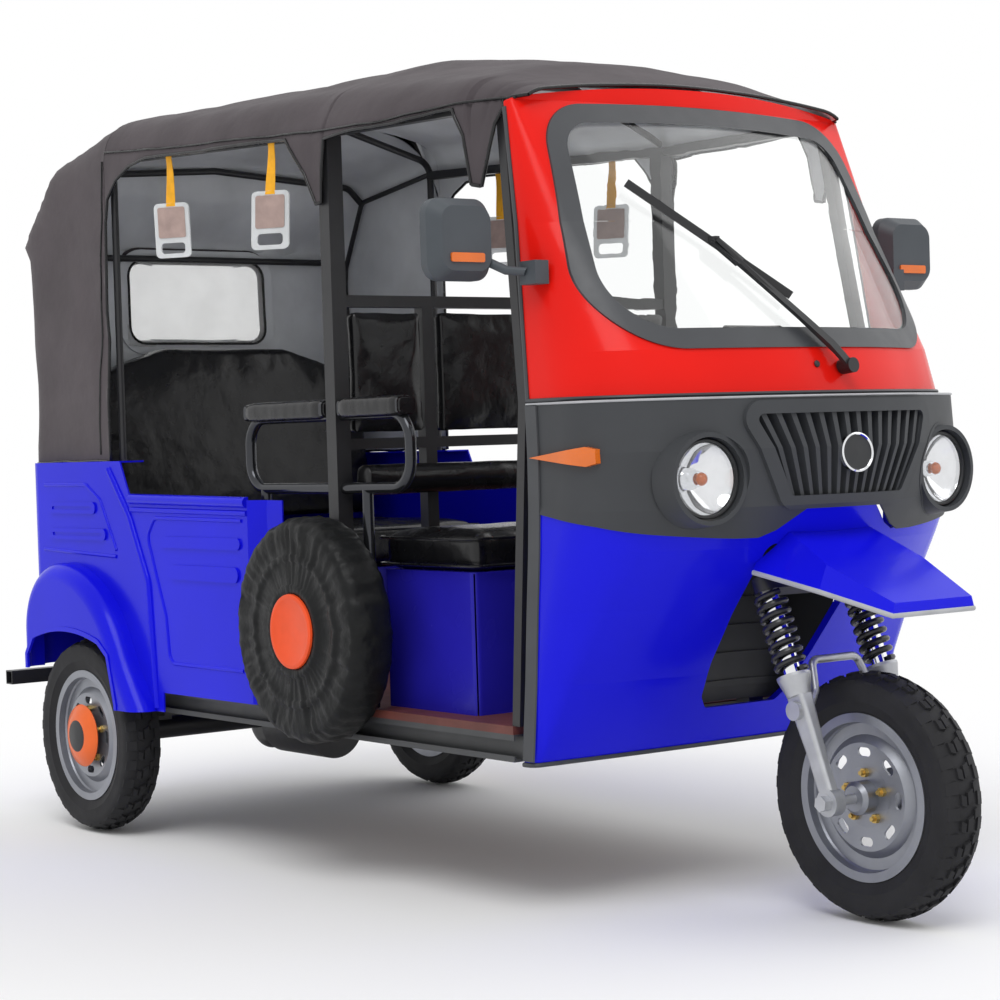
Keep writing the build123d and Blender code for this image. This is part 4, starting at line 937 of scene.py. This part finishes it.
piece("hand_strap_set", strap_parts, ["strap_webbing", "clear_plastic", "card"],
      stands_for=("hand_straps",), sharp=35)


# Camera, light and floor
CAMERA = (5483.0 - MID_X, -3396.0, 961.0)
azimuth, drop, roll = math.radians(52.75), math.radians(1.43), math.radians(-1.77)
back = Vector((math.sin(azimuth) * math.cos(drop), -math.cos(azimuth) * math.cos(drop), math.sin(drop)))
right = (-back).cross(Vector((0, 0, 1))).normalized()
up = right.cross(-back)
camera_data = bpy.data.cameras.new("camera")
camera_data.sensor_width = 36
camera_data.lens = 86.33
camera_data.clip_end = 100
camera = bpy.data.objects.new("camera", camera_data)
bpy.context.scene.collection.objects.link(camera)
turned = Matrix((math.cos(roll) * right + math.sin(roll) * up,
                 -math.sin(roll) * right + math.cos(roll) * up, back))
camera.matrix_world = Matrix.Translation(Vector(CAMERA) / 1000) @ turned.transposed().to_4x4()
bpy.context.scene.camera = camera


def sun(name, strength, angle, direction):
    light = bpy.data.lights.new(name, "SUN")
    light.energy = strength
    light.angle = math.radians(angle)
    made = bpy.data.objects.new(name, light)
    made.rotation_euler = (-Vector(direction)).to_track_quat("-Z", "Y").to_euler()
    bpy.context.scene.collection.objects.link(made)


sun("key", 1.1, 32, (0.75, -0.75, 1.5))
sun("fill", 0.45, 60, (0.3, 1.0, 0.9))

world = bpy.data.worlds.new("world")
bpy.context.scene.world = world
world.use_nodes = True
tree = world.node_tree
ground = tree.nodes["Background"]
ground.inputs["Color"].default_value = (1, 1, 1, 1)
path = tree.nodes.new("ShaderNodeLightPath")
seen = node(tree, "ShaderNodeMath", operation="MAXIMUM")
tree.links.new(path.outputs["Is Camera Ray"], seen.inputs[0])
tree.links.new(path.outputs["Is Glossy Ray"], seen.inputs[1])
through = node(tree, "ShaderNodeMath", operation="MAXIMUM")
tree.links.new(seen.outputs[0], through.inputs[0])
tree.links.new(path.outputs["Is Transmission Ray"], through.inputs[1])
level = tree.nodes.new("ShaderNodeMapRange")
level.inputs["To Min"].default_value = 0.72
level.inputs["To Max"].default_value = 1.0
tree.links.new(through.outputs[0], level.inputs["Value"])
tree.links.new(level.outputs["Result"], ground.inputs["Strength"])

floor_mesh = bpy.data.meshes.new("floor")
floor_mesh.from_pydata([(-30, -30, -0.0006), (30, -30, -0.0006), (30, 30, -0.0006), (-30, 30, -0.0006)], [],
                       [(0, 1, 2, 3)])
floor = bpy.data.objects.new("floor", floor_mesh)
bpy.context.scene.collection.objects.link(floor)
pale = bpy.data.materials.new("pale_floor")
pale.use_nodes = True
tree = pale.node_tree
shader = tree.nodes["Principled BSDF"]
shader.inputs["Base Color"].default_value = (0.93, 0.93, 0.93, 1)
shader.inputs["Roughness"].default_value = 0.9
shader.inputs["Specular IOR Level"].default_value = 0.1
glow = node(tree, "ShaderNodeEmission", Strength=1.0)
place = tree.nodes.new("ShaderNodeTexCoord")
length = node(tree, "ShaderNodeVectorMath", operation="LENGTH")
tree.links.new(place.outputs["Object"], length.inputs[0])
far = tree.nodes.new("ShaderNodeMapRange")
far.inputs["From Min"].default_value = 1.5
far.inputs["From Max"].default_value = 3.4
tree.links.new(length.outputs["Value"], far.inputs["Value"])
blend = tree.nodes.new("ShaderNodeMixShader")
tree.links.new(far.outputs["Result"], blend.inputs["Fac"])
tree.links.new(shader.outputs["BSDF"], blend.inputs[1])
tree.links.new(glow.outputs["Emission"], blend.inputs[2])
tree.links.new(blend.outputs["Shader"], tree.nodes["Material Output"].inputs["Surface"])
floor_mesh.materials.append(pale)

bpy.context.scene.view_settings.view_transform = "Standard"
bpy.context.scene.view_settings.look = "None"
